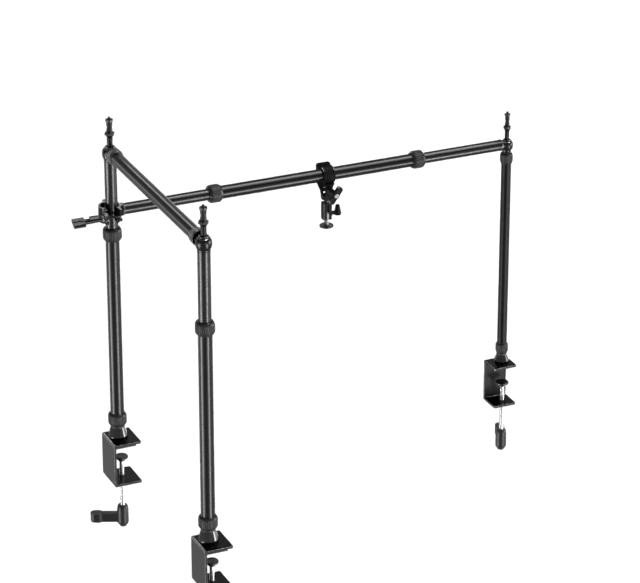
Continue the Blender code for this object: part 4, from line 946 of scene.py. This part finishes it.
def spigot(name, sizes, place, body):
    """Light spigot: a hexagonal flange between two shafts, a shoulder and a threaded stud."""
    scale = sizes["scale"]
    seat = sizes["head_height"] / 2 - 0.0015 + GAP
    low = seat + 0.0330
    high = low + 0.0060
    shoulder = high + 0.0300
    shaft, upper, hexagon, brim = (size * scale for size in (0.0075, 0.0079, 0.0138, 0.0098))
    outline = softened([
        (0, seat - 0.0125), (0.0060 * scale, seat - 0.0125), (0.0060 * scale, seat), (shaft, seat),
        (shaft, low - 0.0075), (0.0112 * scale, low - 0.0004)], 0.0005)
    outline += [(hexagon * 0.93, low, 6), (hexagon, low + 0.0007, 6), (hexagon, high - 0.0007, 6),
                (hexagon * 0.93, high, 6)]
    outline += softened([
        (upper, high + 0.0004), (upper, high + 0.0100), (upper - 0.0009, high + 0.0112),
        (upper - 0.0009, high + 0.0175), (upper, high + 0.0187), (upper, shoulder), (brim, shoulder),
        (brim, shoulder + 0.0060), (0.0030, shoulder + 0.0060), (0, shoulder + 0.0060)], 0.0006)
    piece = rounded(shape(name + "_piece", spun(outline, 48), place))
    stud = threaded("stud", *QUARTER_INCH, shoulder + 0.0055, shoulder + 0.0121, place, DULL, around=25)
    merged(piece, stud)
    finished(piece, DULL, body, name)


# %% Put a column together
def column(prefix, sizes, spot, facing, head_z, port_turn, bar_bore, flange_radius, upper_body):
    """Everything from the clamp to the spigot, on one upright axis."""
    base = placed((spot[0], spot[1], PLATE_TOP), (0, 0, facing))
    mast = placed((spot[0], spot[1], PLATE_TOP))
    clamp_frame(prefix, sizes, base)
    screw_set(prefix, base)
    neck = cone_base(prefix, sizes, base)
    wide = sizes["outer"] + GAP
    twist_collar(prefix + "_base_collar", sizes["collar"], sizes["collar_height"], wide, wide,
                 base @ placed((0, 0, sizes["cone_height"] + GAP)), prefix + "_base_ring")
    tube(prefix + "_outer_tube_piece", sizes["outer"], sizes["outer"] - sizes["inner"] - GAP, neck + GAP,
         sizes["lock"], mast, sizes["tubes"], prefix + "_outer", prefix + "_outer_tube")
    twist_collar(prefix + "_lock_collar", sizes["collar"], sizes["collar_height"], wide,
                 sizes["inner"] + GAP, mast @ placed((0, 0, sizes["lock"] - sizes["collar_height"] / 2)),
                 prefix + "_lock_ring")
    middle = head_z - PLATE_TOP
    inner_low = sizes["lock"] - sizes["insertion"]
    inner_high = middle - sizes["head_height"] / 2 - HEAD_NECK - GAP
    tube(prefix + "_inner_tube_piece", sizes["inner"], sizes["inner_wall"], inner_low, inner_high, mast,
         sizes["tubes"], upper_body, prefix + "_inner_tube")
    top = mast @ placed((0, 0, middle))
    head(prefix + "_head", sizes, top, port_turn, bar_bore, flange_radius, upper_body)
    spigot(prefix + "_spigot", sizes, top, upper_body)


SIDE_RADIUS = 0.0172
BAR_WALL = 0.0018
SIDE_BORE = SIDE_RADIUS - BAR_WALL
BAR_BORE = BAR_END_RADIUS - BAR_WALL
column("rear_left", LEFT, (0, 0), 0, HEAD_Z, ALONG_MINUS_Y, SIDE_BORE, 0.0212, "upper_frame")
column("front_left", LEFT, (0, -SIDE_SPAN), 0, HEAD_Z, ALONG_Y, SIDE_BORE, 0.0212, "upper_frame")
column("right", RIGHT, (BAR_SPAN, 0), -90, BAR_Z, ALONG_MINUS_X, BAR_BORE, 0.0158, "right_frame")

# %% [markdown]
# ## Side bar and crossbar
#
# The side bar is one tube with a knurled lock ring at each end. The crossbar is three tubes, the
# outer two sliding inside the middle one, with a twist collar at each slide. Both lie level, so the
# same tube and collar helpers serve with another turn.

# %% Side bar
side = placed((0, 0, HEAD_Z))
side_start = port_face(LEFT) + GAP
tube("side_bar_tube_piece", SIDE_RADIUS, BAR_WALL, side_start, SIDE_SPAN - side_start,
     side @ placed(turn=ALONG_MINUS_Y), ANODISED, "upper_frame", "side_bar_tube")


def knurled_ring(name, y, turn, body):
    """A ribbed lock ring on the side bar."""
    bore = SIDE_RADIUS + GAP
    outline = softened([(bore, 0), (0.0200, 0), (0.0206, 0.0012), (0.0206, 0.0205),
                        (bore + 0.0012, 0.0240), (bore, 0.0240)], 0.0007, 3, closed=True)
    ring = shape(name + "_piece", spun(outline, 96, closed=True))
    grown(ring, RIBS, Count=28, Radius=0.0205, Low=0.0018, High=0.0196, Width=0.0026, Depth=0.0009,
          Material=RING)
    ring.data.transform(side @ placed((0, y, 0), turn))
    finished(ring, RING, body, name)


knurled_ring("side_bar_rear_ring", -side_start, ALONG_MINUS_Y, "rear_side_ring")
knurled_ring("side_bar_front_ring", side_start - SIDE_SPAN, ALONG_Y, "front_side_ring")

# %% Crossbar
bar = placed((0, 0, BAR_Z))
laid = bar @ placed(turn=ALONG_X)
LEFT_JOINT = 0.285
RIGHT_JOINT = 0.870
OVERLAP = 0.165
SOCKET_FACE = 0.0305
tube("crossbar_left_tube_piece", BAR_END_RADIUS, BAR_WALL, SOCKET_FACE + GAP, LEFT_JOINT + OVERLAP, laid,
     ANODISED, "crossbar_carrier", "crossbar_left_tube")
tube("crossbar_middle_tube_piece", BAR_RADIUS, BAR_RADIUS - BAR_END_RADIUS - GAP, LEFT_JOINT, RIGHT_JOINT,
     laid, ANODISED, "middle_bar", "crossbar_middle_tube")
tube("crossbar_right_tube_piece", BAR_END_RADIUS, BAR_WALL, RIGHT_JOINT - OVERLAP,
     BAR_SPAN - port_face(RIGHT) - GAP, laid, ANODISED, "right_frame", "crossbar_right_tube")
for name, x, turn, body in (("crossbar_left_collar", LEFT_JOINT + 0.018, ALONG_MINUS_X, "left_bar_ring"),
                            ("crossbar_right_collar", RIGHT_JOINT - 0.018, ALONG_X, "right_bar_ring")):
    twist_collar(name, 0.0240, 0.036, BAR_RADIUS + GAP, BAR_END_RADIUS + GAP,
                 bar @ placed((x, 0, 0), turn), body)

# %% [markdown]
# ## Column clamp
#
# Two curved shells close round the rear left column. They meet in a hinge at the back and are drawn
# together in front by a screw that swings out of open notches. The shells are swept, then knuckles,
# ears, grip blocks and the crossbar's socket are joined to them before one bevel rounds everything.

# %% Shells, ears and knuckles
SHELL = 0.0295
SHELL_HALF = 0.021
SHELL_PLACE = (-0.0055, 0, -0.004)
PIN_Y = SHELL + 0.0065 + 0.0006
EAR_Y = -0.031
EAR_Z = -0.005
EAR_FRONT = -0.0395
SWING_X = 0.0112
THUMB_RADIUS = 0.0038
PIN_RADIUS = 0.0030
PIN_BORE = 0.0033
HINGE = bar @ placed((SHELL_PLACE[0], PIN_Y, SHELL_PLACE[2]))


def knuckle_outline(side):
    """Outline of a hinge knuckle that reaches back to its shell."""
    points = arc((0, PIN_Y), 0.0065, -20, 250, 24)
    points += [(0.0270 * math.cos(math.radians(angle)), 0.0270 * math.sin(math.radians(angle)))
               for angle in (81, 63)]
    return [(side * x, y) for x, y in points]


def clamp_shell(name, angles, grip, knuckles, ear, ear_back):
    """A curved shell with its grip block, knuckles and a slotted ear for the swing screw."""
    inside = SHELL - 0.005
    section = [(inside, -SHELL_HALF), (SHELL, -SHELL_HALF), (SHELL, SHELL_HALF), (inside, SHELL_HALF)]
    piece = shape(name + "_piece", swept(section, *angles, 32), bar @ placed(SHELL_PLACE))
    reach, start, end = grip
    inner = LEFT["inner"] + GAP
    block = [(inner, -0.008), (reach, -0.008), (reach, 0.008), (inner, 0.008)]
    joined(piece, swept(block, start, end, 24), bar)
    for side_sign, low, high in knuckles:
        joined(piece, extruded(knuckle_outline(side_sign), low, high), bar @ placed(SHELL_PLACE))
    carved(piece, cylinder(PIN_BORE, -0.042, 0.042, 24), HINGE)
    left, right, low, high = ear
    joined(piece, slab((left, EAR_FRONT, low), (right, ear_back, high)), bar)
    room = THUMB_RADIUS + GAP
    slot = slab((left - 0.002, EAR_FRONT - 0.002, EAR_Z - room),
                (right + 0.002, EAR_Y + room + GAP, EAR_Z + room))
    carved(piece, slot, bar)
    return piece


THIRD = SHELL_HALF / 3
OUTER_END = SHELL_HALF - 0.0006
clamp_body = clamp_shell("column_clamp_body", (-66, 84), (0.0225, -62, 62),
                         ((1, -OUTER_END, -THIRD), (1, THIRD, OUTER_END)),
                         (0.0080, 0.0145, -0.0155, 0.0165), -0.0215)
swing_axis = bar @ placed((SWING_X, EAR_Y, EAR_Z))
carved(clamp_body, cylinder(0.0022, -0.0091, 0.0091, 24), swing_axis)
plug = BAR_BORE - GAP
socket = spun(softened([(0, 0.0195), (0.0150, 0.0195), (0.0150, 0.0270), (0.0172, 0.0270),
                        (0.0172, SOCKET_FACE), (plug, SOCKET_FACE), (plug, 0.0585), (0, 0.0585)],
                       0.0006), 64)
joined(clamp_body, socket, laid)
finished(rounded(clamp_body, 0.0009, 2), CAST, "crossbar_carrier", "column_clamp_body")
# The body's upward faces are painted pale: a painted highlight along the top of the shell
mark_facing(clamp_body, "edge", UPWARDS)

clamp_jaw = clamp_shell("column_clamp_jaw", (96, 220), (0.0320, 150, 212),
                        ((-1, GAP - THIRD, THIRD - GAP),), (-0.0310, -0.0215, -0.0200, 0.0050), -0.0165)
finished(rounded(clamp_jaw, 0.0009, 2), CAST, "column_jaw", "column_clamp_jaw")
# The jaw's upward faces are painted pale: a painted highlight along the top of the shell
mark_facing(clamp_jaw, "edge", UPWARDS)

pin_half = SHELL_HALF + 0.0015
hinge_pin = shape("column_clamp_pin_piece", cylinder(PIN_RADIUS, -pin_half, pin_half, soft=0.0007), HINGE)
finished(rounded(hinge_pin), DARK_STEEL, "crossbar_carrier", "column_clamp_pin")

# %% Swing screw and T handle
thumb = bar @ placed((0, EAR_Y, EAR_Z), ALONG_MINUS_X)
HUB_START = 0.0350
HUB_END = 0.0895
SCREW_END = HUB_END - 0.010
swing = shape("column_clamp_screw_piece", spun(softened([
    (0, -SWING_X - 0.0034), (0.0023, -SWING_X - 0.0034), (0.0038, -SWING_X - 0.0015), (0.0038, -0.0040),
    (0.0034, -0.0030), (0, -0.0030)], 0.0006), 40), thumb)
joined(swing, cylinder(0.0019, -0.0088, 0.0088, 24, 0.0003), swing_axis)
rounded(swing)
rod = threaded("rod", THUMB_RADIUS, 0.0006, 0.00125, -0.0040, SCREW_END, thumb, DARK_STEEL, around=25)
merged(swing, rod)
finished(swing, DARK_STEEL, "swing_screw", "column_clamp_screw", marks=False)

handle = shape("column_clamp_handle_piece", spun(softened([
    (0, SCREW_END + GAP), (0.0041, SCREW_END + GAP), (0.0041, HUB_START), (0.0090, HUB_START),
    (0.0090, HUB_START + 0.0040), (0.0065, HUB_START + 0.0050), (0.0075, HUB_END), (0, HUB_END)],
    0.0008), 48), thumb)
half_wing = [(-0.0150, -0.0030), (-0.0095, -0.00675), (-0.0022, -0.00675), (0, -0.0048),
             (0.0022, -0.00675), (0.0095, -0.00675), (0.0150, -0.0015)]
wing = half_wing + [(-x, -y) for x, y in half_wing]
outline = turned_outline(softened(wing, 0.0005, 2, True), 57)
joined(handle, extruded(outline, HUB_END - 0.0030, HUB_END + 0.0270), thumb)
joined(handle, slab((0.0053, -0.0040, 0.0480), (0.0118, 0.0040, 0.0720)), thumb)
finished(rounded(handle, 0.0007, 2), GLOSS_PLASTIC, "thumb_handle", "column_clamp_handle")

# %% [markdown]
# ## Camera clamp
#
# Two hooked jaws hang on the crossbar and share a pivot below it. A bolt through both legs, with a
# wing knob in front, pulls them together. Each jaw is its side view extruded across, with the leg
# then narrowed and the rear leg forked round the front one. Fins run down the front jaw's back.

# %% Sizes and side views of the jaws
JAW_OUTER = BAR_RADIUS + GAP + 0.0060
PIVOT = BAR_RADIUS + 0.0435
EYE = 0.0085
TONGUE = 0.0065
CHEEK_IN = TONGUE + 2 * GAP
CHEEK_OUT = CHEEK_IN + 0.0060
BOLT_DROP = BAR_RADIUS + 0.0200
clamp = placed((CAMERA_X, 0, BAR_Z))
pivot = clamp @ placed((0, 0, -PIVOT), ALONG_X)
across = clamp @ placed((0, 0, -BOLT_DROP), ALONG_MINUS_Y)


def jaw_section(side_sign, tip, flare, tab):
    """Side view of a jaw: a hook round the bar, with a leg down to the pivot."""
    inner = JAW_OUTER - 0.0060
    leg_top = JAW_OUTER * 0.987
    inside = arc((0, 0), inner, tip, -48, 32)
    outside = arc((0, 0), JAW_OUTER, -48, flare, 32)
    leg = [(leg_top - 0.0070, -JAW_OUTER * 0.80), (EYE * 0.80 - 0.0070, -PIVOT), (EYE * 0.80, -PIVOT),
           (leg_top, -JAW_OUTER * 0.86)]
    return [(side_sign * y, z) for y, z in inside + leg + outside + tab]


def camera_jaw(name, section, half, taper, eyes, fork):
    """A jaw with its pivot eyes, narrowed by (drop, half width) pairs from the top of its leg."""
    piece = shape(name + "_piece", extruded(section, -half, half), clamp @ placed(turn=(90, 0, 90)))
    for low, high in eyes:
        eye = spun([(PIN_BORE, low), (EYE, low), (EYE, high), (PIN_BORE, high)], 48, closed=True)
        joined(piece, eye, pivot)
    foot = -PIVOT - EYE - 0.0010
    if fork:
        carved(piece, slab((-CHEEK_IN, -0.030, foot), (CHEEK_IN, 0.030, foot + 2 * EYE + 0.0040)), clamp)
    for side_sign in (-1, 1):
        wide = side_sign * (half + 0.002)
        waste = [(side_sign * taper[-1][1], foot), (wide, foot), (wide, -taper[0][0])]
        waste += [(side_sign * half_width, -drop) for drop, half_width in taper]
        carved(piece, extruded(waste, -0.040, 0.040), clamp @ placed(turn=ALONG_MINUS_Y))
    carved(piece, cylinder(PIN_BORE, -0.030, 0.030), pivot)
    return piece


# %% Front jaw with its fins and swivel stud
SADDLE = PIVOT + 0.0130
FORK_TOP = SADDLE + 0.0050
FRONT_HALF = 0.016
WAIST = 0.0105
front = camera_jaw("camera_clamp_front_jaw", jaw_section(-1, 82, 82, []), FRONT_HALF,
                   ((BAR_RADIUS - 0.0025, FRONT_HALF), (BAR_RADIUS + 0.0085, WAIST),
                    (BAR_RADIUS + 0.0165, WAIST), (BAR_RADIUS + 0.0225, TONGUE)),
                   ((-TONGUE, TONGUE),), False)
carved(front, cylinder(PIN_BORE, -0.005, 0.040), across)
saddle = slab((0.0002 - TONGUE, -0.0070, -SADDLE), (TONGUE - 0.0002, 0.0070, -PIVOT - 0.0050))
joined(front, saddle, clamp)
stud = [(0, -FORK_TOP - 0.0035), (0.0028, -FORK_TOP - 0.0035), (0.0028, -FORK_TOP + GAP),
        (0.0042, -FORK_TOP + GAP), (0.0042, 0.0010 - SADDLE), (0, 0.0010 - SADDLE)]
joined(front, spun(stud, 32), clamp)
rounded(front, 0.0008, 2)


# %% The fin tree
def make_fin_tree():
    """Fins that follow an arc round the X axis, set side by side along X."""
    tree, given, result = new_tree("fins_along_an_arc", (
        ("Body", "Geometry", None), ("Count", "Int", 5), ("Spacing", "Float", 0.006),
        ("Radius", "Float", 0.024), ("Start", "Float", 0.0), ("Sweep", "Float", 1.0),
        ("Width", "Float", 0.002), ("Material", "Material", None)))
    read = given.outputs
    curve = node(tree, "GeometryNodeCurveArc", {"Radius": read["Radius"], "Start Angle": read["Start"],
                 "Sweep Angle": read["Sweep"]}, Resolution=24)
    half = math_node(tree, "MULTIPLY", read["Width"], 0.5)
    section = node(tree, "GeometryNodeCurvePrimitiveCircle", {"Radius": half}, Resolution=10)
    rod = node(tree, "GeometryNodeCurveToMesh", {"Curve": curve.outputs["Curve"],
               "Profile Curve": section.outputs["Curve"]}, Fill_Caps=True)
    upright = node(tree, "GeometryNodeTransform", {"Geometry": rod.outputs["Mesh"]})
    upright.inputs["Rotation"].default_value = (math.pi / 2, 0, math.pi / 2)
    gaps = math_node(tree, "SUBTRACT", read["Count"], 1.0)
    first = math_node(tree, "MULTIPLY", math_node(tree, "MULTIPLY", gaps, read["Spacing"]), -0.5)
    begin = node(tree, "ShaderNodeCombineXYZ", {"X": first})
    offset = node(tree, "ShaderNodeCombineXYZ", {"X": read["Spacing"]})
    row = node(tree, "GeometryNodeMeshLine", {"Count": read["Count"], "Start Location": begin.outputs[0],
               "Offset": offset.outputs[0]})
    copies = node(tree, "GeometryNodeInstanceOnPoints", {"Points": row.outputs[0],
                  "Instance": upright.outputs[0]})
    real = node(tree, "GeometryNodeRealizeInstances", {"Geometry": copies.outputs[0]})
    smooth = node(tree, "GeometryNodeSetShadeSmooth", {"Geometry": real.outputs[0]})
    return painted(tree, smooth.outputs[0], read, result)


FINS = make_fin_tree()
print("fin tree", len(FINS.nodes), "nodes")
fins = grown(shape("fins", bmesh.new()), FINS, Count=5, Spacing=0.0061, Radius=JAW_OUTER - 0.0001,
             Start=math.radians(128), Sweep=math.radians(56), Width=0.0034, Material=CLAMP_PLASTIC)
fins.data.transform(clamp)
rails = grown(shape("rails", bmesh.new()), FINS, Count=2, Spacing=2 * FRONT_HALF - 0.0018,
              Radius=JAW_OUTER - 0.0002, Start=math.radians(99), Sweep=math.radians(118), Width=0.0020,
              Material=CLAMP_PLASTIC)
rails.data.transform(clamp)
merged(front, fins, rails)
finished(front, CLAMP_PLASTIC, "camera_clamp", "camera_clamp_front_jaw")
mark_rim(front, "edge", pivot, (0, EYE + 0.0004), (-TONGUE, TONGUE), 0.0)
# On the jaw's back only the fins' round ends and the two rails over the top are painted pale, as painted
# highlights where the grooves end and along the rails
RAIL_X = 0.0135
RAIL_Z = 0.0180
FIN_END_CORNERS = 10
front_edges = front.data.attributes["edge"].data
for polygon in front.data.polygons:
    spot = clamp.inverted() @ polygon.center
    reach = math.hypot(spot.y, spot.z) - JAW_OUTER
    if abs(reach) < 0.0020 and spot.z > -0.0150:
        rail = abs(spot.x) > RAIL_X and reach > 0.0001 and spot.z > RAIL_Z
        tip = abs(spot.x) < RAIL_X and len(polygon.vertices) == FIN_END_CORNERS
        front_edges[polygon.index].value = 3.0 if rail or tip else 0.0

# %% Rear jaw, pivot pin and bolt
REAR_HALF = 0.020
tab = [(BAR_RADIUS + 0.0083, BAR_RADIUS + 0.0083), (BAR_RADIUS + 0.0045, BAR_RADIUS + 0.0087)]
tab += arc((0, 0), JAW_OUTER, 40, 62, 6)
rear = camera_jaw("camera_clamp_rear_jaw", jaw_section(1, 62, 18, tab), REAR_HALF,
                  ((BAR_RADIUS + 0.0085, REAR_HALF), (BAR_RADIUS + 0.0310, CHEEK_OUT)),
                  ((-CHEEK_OUT, -CHEEK_IN), (CHEEK_IN, CHEEK_OUT)), True)
carved(rear, slab((-0.0038, -0.005, -BOLT_DROP - 0.0050), (0.0038, 0.045, 0.0140 - BOLT_DROP)), clamp)
tip = BAR_RADIUS + 0.0088
corner = [(REAR_HALF + 0.001, tip + 0.004), (REAR_HALF + 0.001, tip - 0.007), (REAR_HALF, tip - 0.007)]
corner += arc((REAR_HALF - 0.0055, tip - 0.006), 0.0055, 0, 90, 8) + [(REAR_HALF - 0.0055, tip + 0.004)]
for side_sign in (-1, 1):
    waste = extruded([(side_sign * x, z) for x, z in corner], -0.036, -0.012)
    carved(rear, waste, clamp @ placed(turn=(90, 0, 0)))
rounded(rear, 0.0008, 2)
finished(rear, CLAMP_PLASTIC, "camera_rear_jaw", "camera_clamp_rear_jaw")
mark_rim(rear, "edge", pivot, (0, EYE + 0.0004), (-CHEEK_OUT, CHEEK_OUT), 0.0)

pivot_half = CHEEK_OUT + 0.0010
pivot_pin = shape("camera_clamp_pin_piece", cylinder(PIN_RADIUS, -pivot_half, pivot_half, soft=0.0006),
                  pivot)
finished(rounded(pivot_pin), DARK_STEEL, "camera_clamp", "camera_clamp_pin")

KNOB_START = JAW_OUTER - 0.0026
KNOB_END = KNOB_START + 0.0440
NUT_START = JAW_OUTER - 0.0013
bolt_front = KNOB_END - 0.0130
nut = [(0, -NUT_START - 0.0060), (0.0055, -NUT_START - 0.0060, 6), (0.0062, -NUT_START - 0.0053, 6),
       (0.0062, -NUT_START - 0.0007, 6), (0.0055, -NUT_START, 6), (0, -NUT_START)]
bolt = rounded(shape("camera_clamp_bolt_piece", spun(nut, 48), across))
merged(bolt, threaded("rod", PIN_RADIUS, 0.0004, 0.0010, -NUT_START - 0.0010, bolt_front, across,
                      DARK_STEEL, around=21))
finished(bolt, DARK_STEEL, "camera_bolt", "camera_clamp_bolt", marks=False)

# %% Wing knob and its bright button
knob = shape("camera_clamp_wing_knob_piece", spun(softened([
    (0, bolt_front + GAP), (0.0033, bolt_front + GAP), (0.0033, KNOB_START), (0.0070, KNOB_START),
    (0.0090, KNOB_START + 0.0020), (0.0090, KNOB_END), (0, KNOB_END)], 0.0008), 48), across)
outline = turned_outline(rounded_rectangle(0.0520, 0.0145, 0.0061, 8), 54)
joined(knob, extruded(outline, KNOB_END - 0.0120, KNOB_END - 0.0005), across)
finished(rounded(knob, 0.0012, 3), CLAMP_PLASTIC, "camera_knob", "camera_clamp_wing_knob")

button = shape("camera_clamp_button_piece", spun(softened([
    (0, KNOB_END + GAP), (0.0062, KNOB_END + GAP), (0.0062, KNOB_END + 0.0016),
    (0.0050, KNOB_END + 0.0022), (0, KNOB_END + 0.0022)], 0.0004), 48), across)
finished(rounded(button), SATIN_PLATING, "camera_knob", "camera_clamp_button")

# %% [markdown]
# ## Tilt head
#
# A forked block turns on the front jaw's swivel stud. A steel blade swings between its cheeks and
# carries the camera plate, and a lever on the right locks the swing. The blade and its pin are one
# piece, as pressed together on the real one.

# %% Fork
TILT = FORK_TOP + 0.0340
PLATE_DROP = TILT + 0.0310
fork_low = -FORK_TOP - 0.0470
fork_block = extruded(rounded_rectangle(0.0250, 0.0220, 0.0045, 8), fork_low, -FORK_TOP)
fork = shape("tilt_head_fork_piece", fork_block, clamp)
carved(fork, slab((-0.0028, -0.030, fork_low - 0.005), (0.0028, 0.030, -FORK_TOP - 0.0045)), clamp)
tilt = clamp @ placed((0, 0, -TILT))
tilt_axis = tilt @ placed(turn=ALONG_X)
carved(fork, cylinder(PIN_BORE, -0.030, 0.030), tilt_axis)
carved(fork, cylinder(0.0031, -FORK_TOP - 0.0055, 0.001 - FORK_TOP), clamp)
finished(rounded(fork, 0.0008, 2), CLAMP_PLASTIC, "tilt_fork", "tilt_head_fork", marks=False)
# The faces at the fork's front left corner are painted paler: a painted highlight down that corner
mark_facing(fork, "edge", Vector((-1, -1, 0)).normalized(), 0.8, 0.97)

# %% Blade, camera plate and screw
blade_half = 0.0028 - GAP
blade_end = PLATE_DROP + 0.0030 - TILT
outline = arc((0, 0), 0.0110, 0, 180, 32) + [(-0.0090, -blade_end), (0.0090, -blade_end)]
blade = shape("tilt_head_blade_piece", extruded(outline, -blade_half, blade_half),
              tilt @ placed(turn=(90, 0, 90)))
joined(blade, cylinder(PIN_RADIUS, -0.0105, 0.0040), tilt_axis)
finished(rounded(blade, 0.0003, 2), SATIN_PLATING, "tilt_plate", "tilt_head_blade")

plate_low = -PLATE_DROP - 0.0055
plate = shape("camera_plate_piece", spun(softened([
    (0, plate_low), (0.0168, plate_low), (0.0180, plate_low + 0.0010), (0.0190, plate_low + 0.0012),
    (0.0190, -PLATE_DROP - 0.0012), (0.0178, -PLATE_DROP), (0, -PLATE_DROP)], 0.0006), 80), clamp)
blade_slot = slab((-0.0028, -0.0096, -PLATE_DROP - 0.0033), (0.0028, 0.0096, 0.001 - PLATE_DROP))
carved(plate, blade_slot, clamp)
carved(plate, cylinder(0.0035, plate_low - 0.001, 0.001 - PLATE_DROP), clamp)
finished(rounded(plate), MACHINED, "tilt_plate", "camera_plate")

camera_screw = threaded("camera_screw_piece", *QUARTER_INCH, plate_low - 0.0060,
                        -PLATE_DROP - 0.0033, clamp, CHROME, around=25)
finished(camera_screw, CHROME, "tilt_plate", "camera_screw", marks=False)

# %% Lock lever
face = 0.0125
lever = shape("tilt_head_lever_piece", spun(softened([
    (0, 0.0050), (0.0030, 0.0050), (0.0030, face + GAP), (0.0060, face + GAP), (0.0052, face + 0.0060),
    (0.0060, face + 0.0125), (0, face + 0.0125)], 0.0006), 32), tilt_axis)
grip = spun(softened([
    (0, -0.0070), (0.0085, -0.0070), (0.0100, -0.0055), (0.0100, -0.0020), (0.0058, 0.0185),
    (0.0038, 0.0220), (0, 0.0220)], 0.0010), 48)
joined(lever, grip, tilt @ placed((face + 0.0125 + 0.0075, 0, 0)))
finished(rounded(lever, 0.0004, 2), CLAMP_PLASTIC, "tilt_lever", "tilt_head_lever", marks=False)

# %% [markdown]
# ## Floor, light and camera
#
# The rig is held by a tabletop that isn't part of it, so the floor lies where a desk's floor would
# be. The lights are spots with soft edges in the world, each where a tube or a face mirrors it, so
# every tube gets two long highlights with a dark middle, as soft boxes give on black metal. Lamps
# could do this too, but so many of them give a grainy picture. The camera sees an even pale
# backdrop, and so does whatever mirrors the low part of the world.

# %% Floor
FLOOR_Z = -0.74
floor = shape("floor", extruded([(-30, -30), (30, -30), (30, 30), (-30, 30)], FLOOR_Z - 0.01, FLOOR_Z))
paper = bpy.data.materials.new("pale_floor")
paper.use_nodes = True
paper_shader = paper.node_tree.nodes["Principled BSDF"]
paper_shader.inputs["Base Color"].default_value = (0.78, 0.78, 0.78, 1)
paper_shader.inputs["Roughness"].default_value = 0.9
paper_shader.inputs["Specular IOR Level"].default_value = 0.1
floor.data.materials.append(paper)
floor.visible_shadow = False
floor.visible_glossy = False

# %% Soft lights: azimuth, elevation, radiance at the middle, half width in degrees
LEFT_LIGHTS = ((175, -24, 36.0, 7.0), (184, -24, 23.0, 10.0), (197, -22, 8.0, 13.0))
RIGHT_LIGHTS = ((-59, -28, 36.0, 7.0), (-67, -24, 23.0, 10.0), (-78, -16, 8.0, 13.0))
TOP_LIGHTS = ((16, 67, 32.0, 7.0), (-12, 67, 22.0, 10.0), (-40, 61, 8.0, 13.0))
BACK_LIGHTS = ((86, 33, 12.0, 10.0), (123, -3, 4.5, 10.0), (-26, -8, 36.0, 13.0), (-20, 12, 24.0, 14.0))
SIDE_LIGHTS = ((48, -13, 14.0, 12.0), (135, -26, 4.0, 9.0), (5, -10, 10.0, 9.0))
SOFT_LIGHTS = LEFT_LIGHTS + RIGHT_LIGHTS + TOP_LIGHTS + BACK_LIGHTS + SIDE_LIGHTS

# %% World: a soft ceiling, the lights, and a pale backdrop for the camera and for whatever mirrors it
BACKDROP_GLOW = 0.80
BACKDROP_TOP = 0.35
CAMERA_GLOW = 0.97
world = bpy.data.worlds.new("studio")
world.use_nodes = True
bpy.context.scene.world = world
sky = world.node_tree
backdrop = sky.nodes["Background"]
direction = node(sky, "ShaderNodeTexCoord").outputs["Generated"]
up = node(sky, "ShaderNodeSeparateXYZ", {0: direction}).outputs["Z"]
ceiling = node(sky, "ShaderNodeMapRange", {"Value": up}, From_Min=0.25, From_Max=1.0,
               To_Min=0.12, To_Max=0.70).outputs["Result"]
path = node(sky, "ShaderNodeLightPath")
mirrored = math_node(sky, "MAXIMUM", path.outputs["Is Glossy Ray"], path.outputs["Is Transmission Ray"])
low = math_node(sky, "LESS_THAN", up, BACKDROP_TOP)
glow = math_node(sky, "MULTIPLY", math_node(sky, "MULTIPLY", mirrored, low), BACKDROP_GLOW)
total = math_node(sky, "MAXIMUM", ceiling, glow)
for azimuth, elevation, radiance, half_width in SOFT_LIGHTS:
    level = math.cos(math.radians(elevation))
    middle = (math.cos(math.radians(azimuth)) * level, math.sin(math.radians(azimuth)) * level,
              math.sin(math.radians(elevation)))
    facing = node(sky, "ShaderNodeVectorMath", {0: direction}, operation="DOT_PRODUCT")
    facing.inputs[1].default_value = middle
    soft = node(sky, "ShaderNodeMapRange", {"Value": facing.outputs["Value"]},
                interpolation_type="SMOOTHSTEP", From_Min=math.cos(math.radians(half_width)),
                From_Max=1.0, To_Min=0.0, To_Max=radiance)
    total = math_node(sky, "ADD", total, soft.outputs["Result"])
strength = node(sky, "ShaderNodeMix", {0: path.outputs["Is Camera Ray"], 2: total})
strength.inputs[3].default_value = CAMERA_GLOW
sky.links.new(strength.outputs[0], backdrop.inputs["Strength"])
backdrop.inputs["Color"].default_value = (1, 1, 1, 1)

# %% Camera
VIEW_AZIMUTH = math.radians(-24.064)
VIEW_PITCH = math.radians(24.22)
CAMERA_PLACE = Vector((-2.72172, -7.41010, 3.97528))
right_way = Vector((math.cos(VIEW_AZIMUTH), math.sin(VIEW_AZIMUTH), 0))
level_way = Vector((-math.sin(VIEW_AZIMUTH), math.cos(VIEW_AZIMUTH), 0))
ahead_way = level_way * math.cos(VIEW_PITCH) - Vector((0, 0, math.sin(VIEW_PITCH)))
camera_data = bpy.data.cameras.new("camera")
camera_data.sensor_width = 36.0
camera_data.lens = 186.65
camera_data.clip_end = 100
camera = bpy.data.objects.new("camera", camera_data)
bpy.context.collection.objects.link(camera)
turned = Matrix((right_way, right_way.cross(ahead_way), -ahead_way)).transposed().to_4x4()
turned.translation = CAMERA_PLACE
camera.matrix_world = turned
bpy.context.scene.camera = camera
bpy.context.scene.view_settings.view_transform = "Standard"
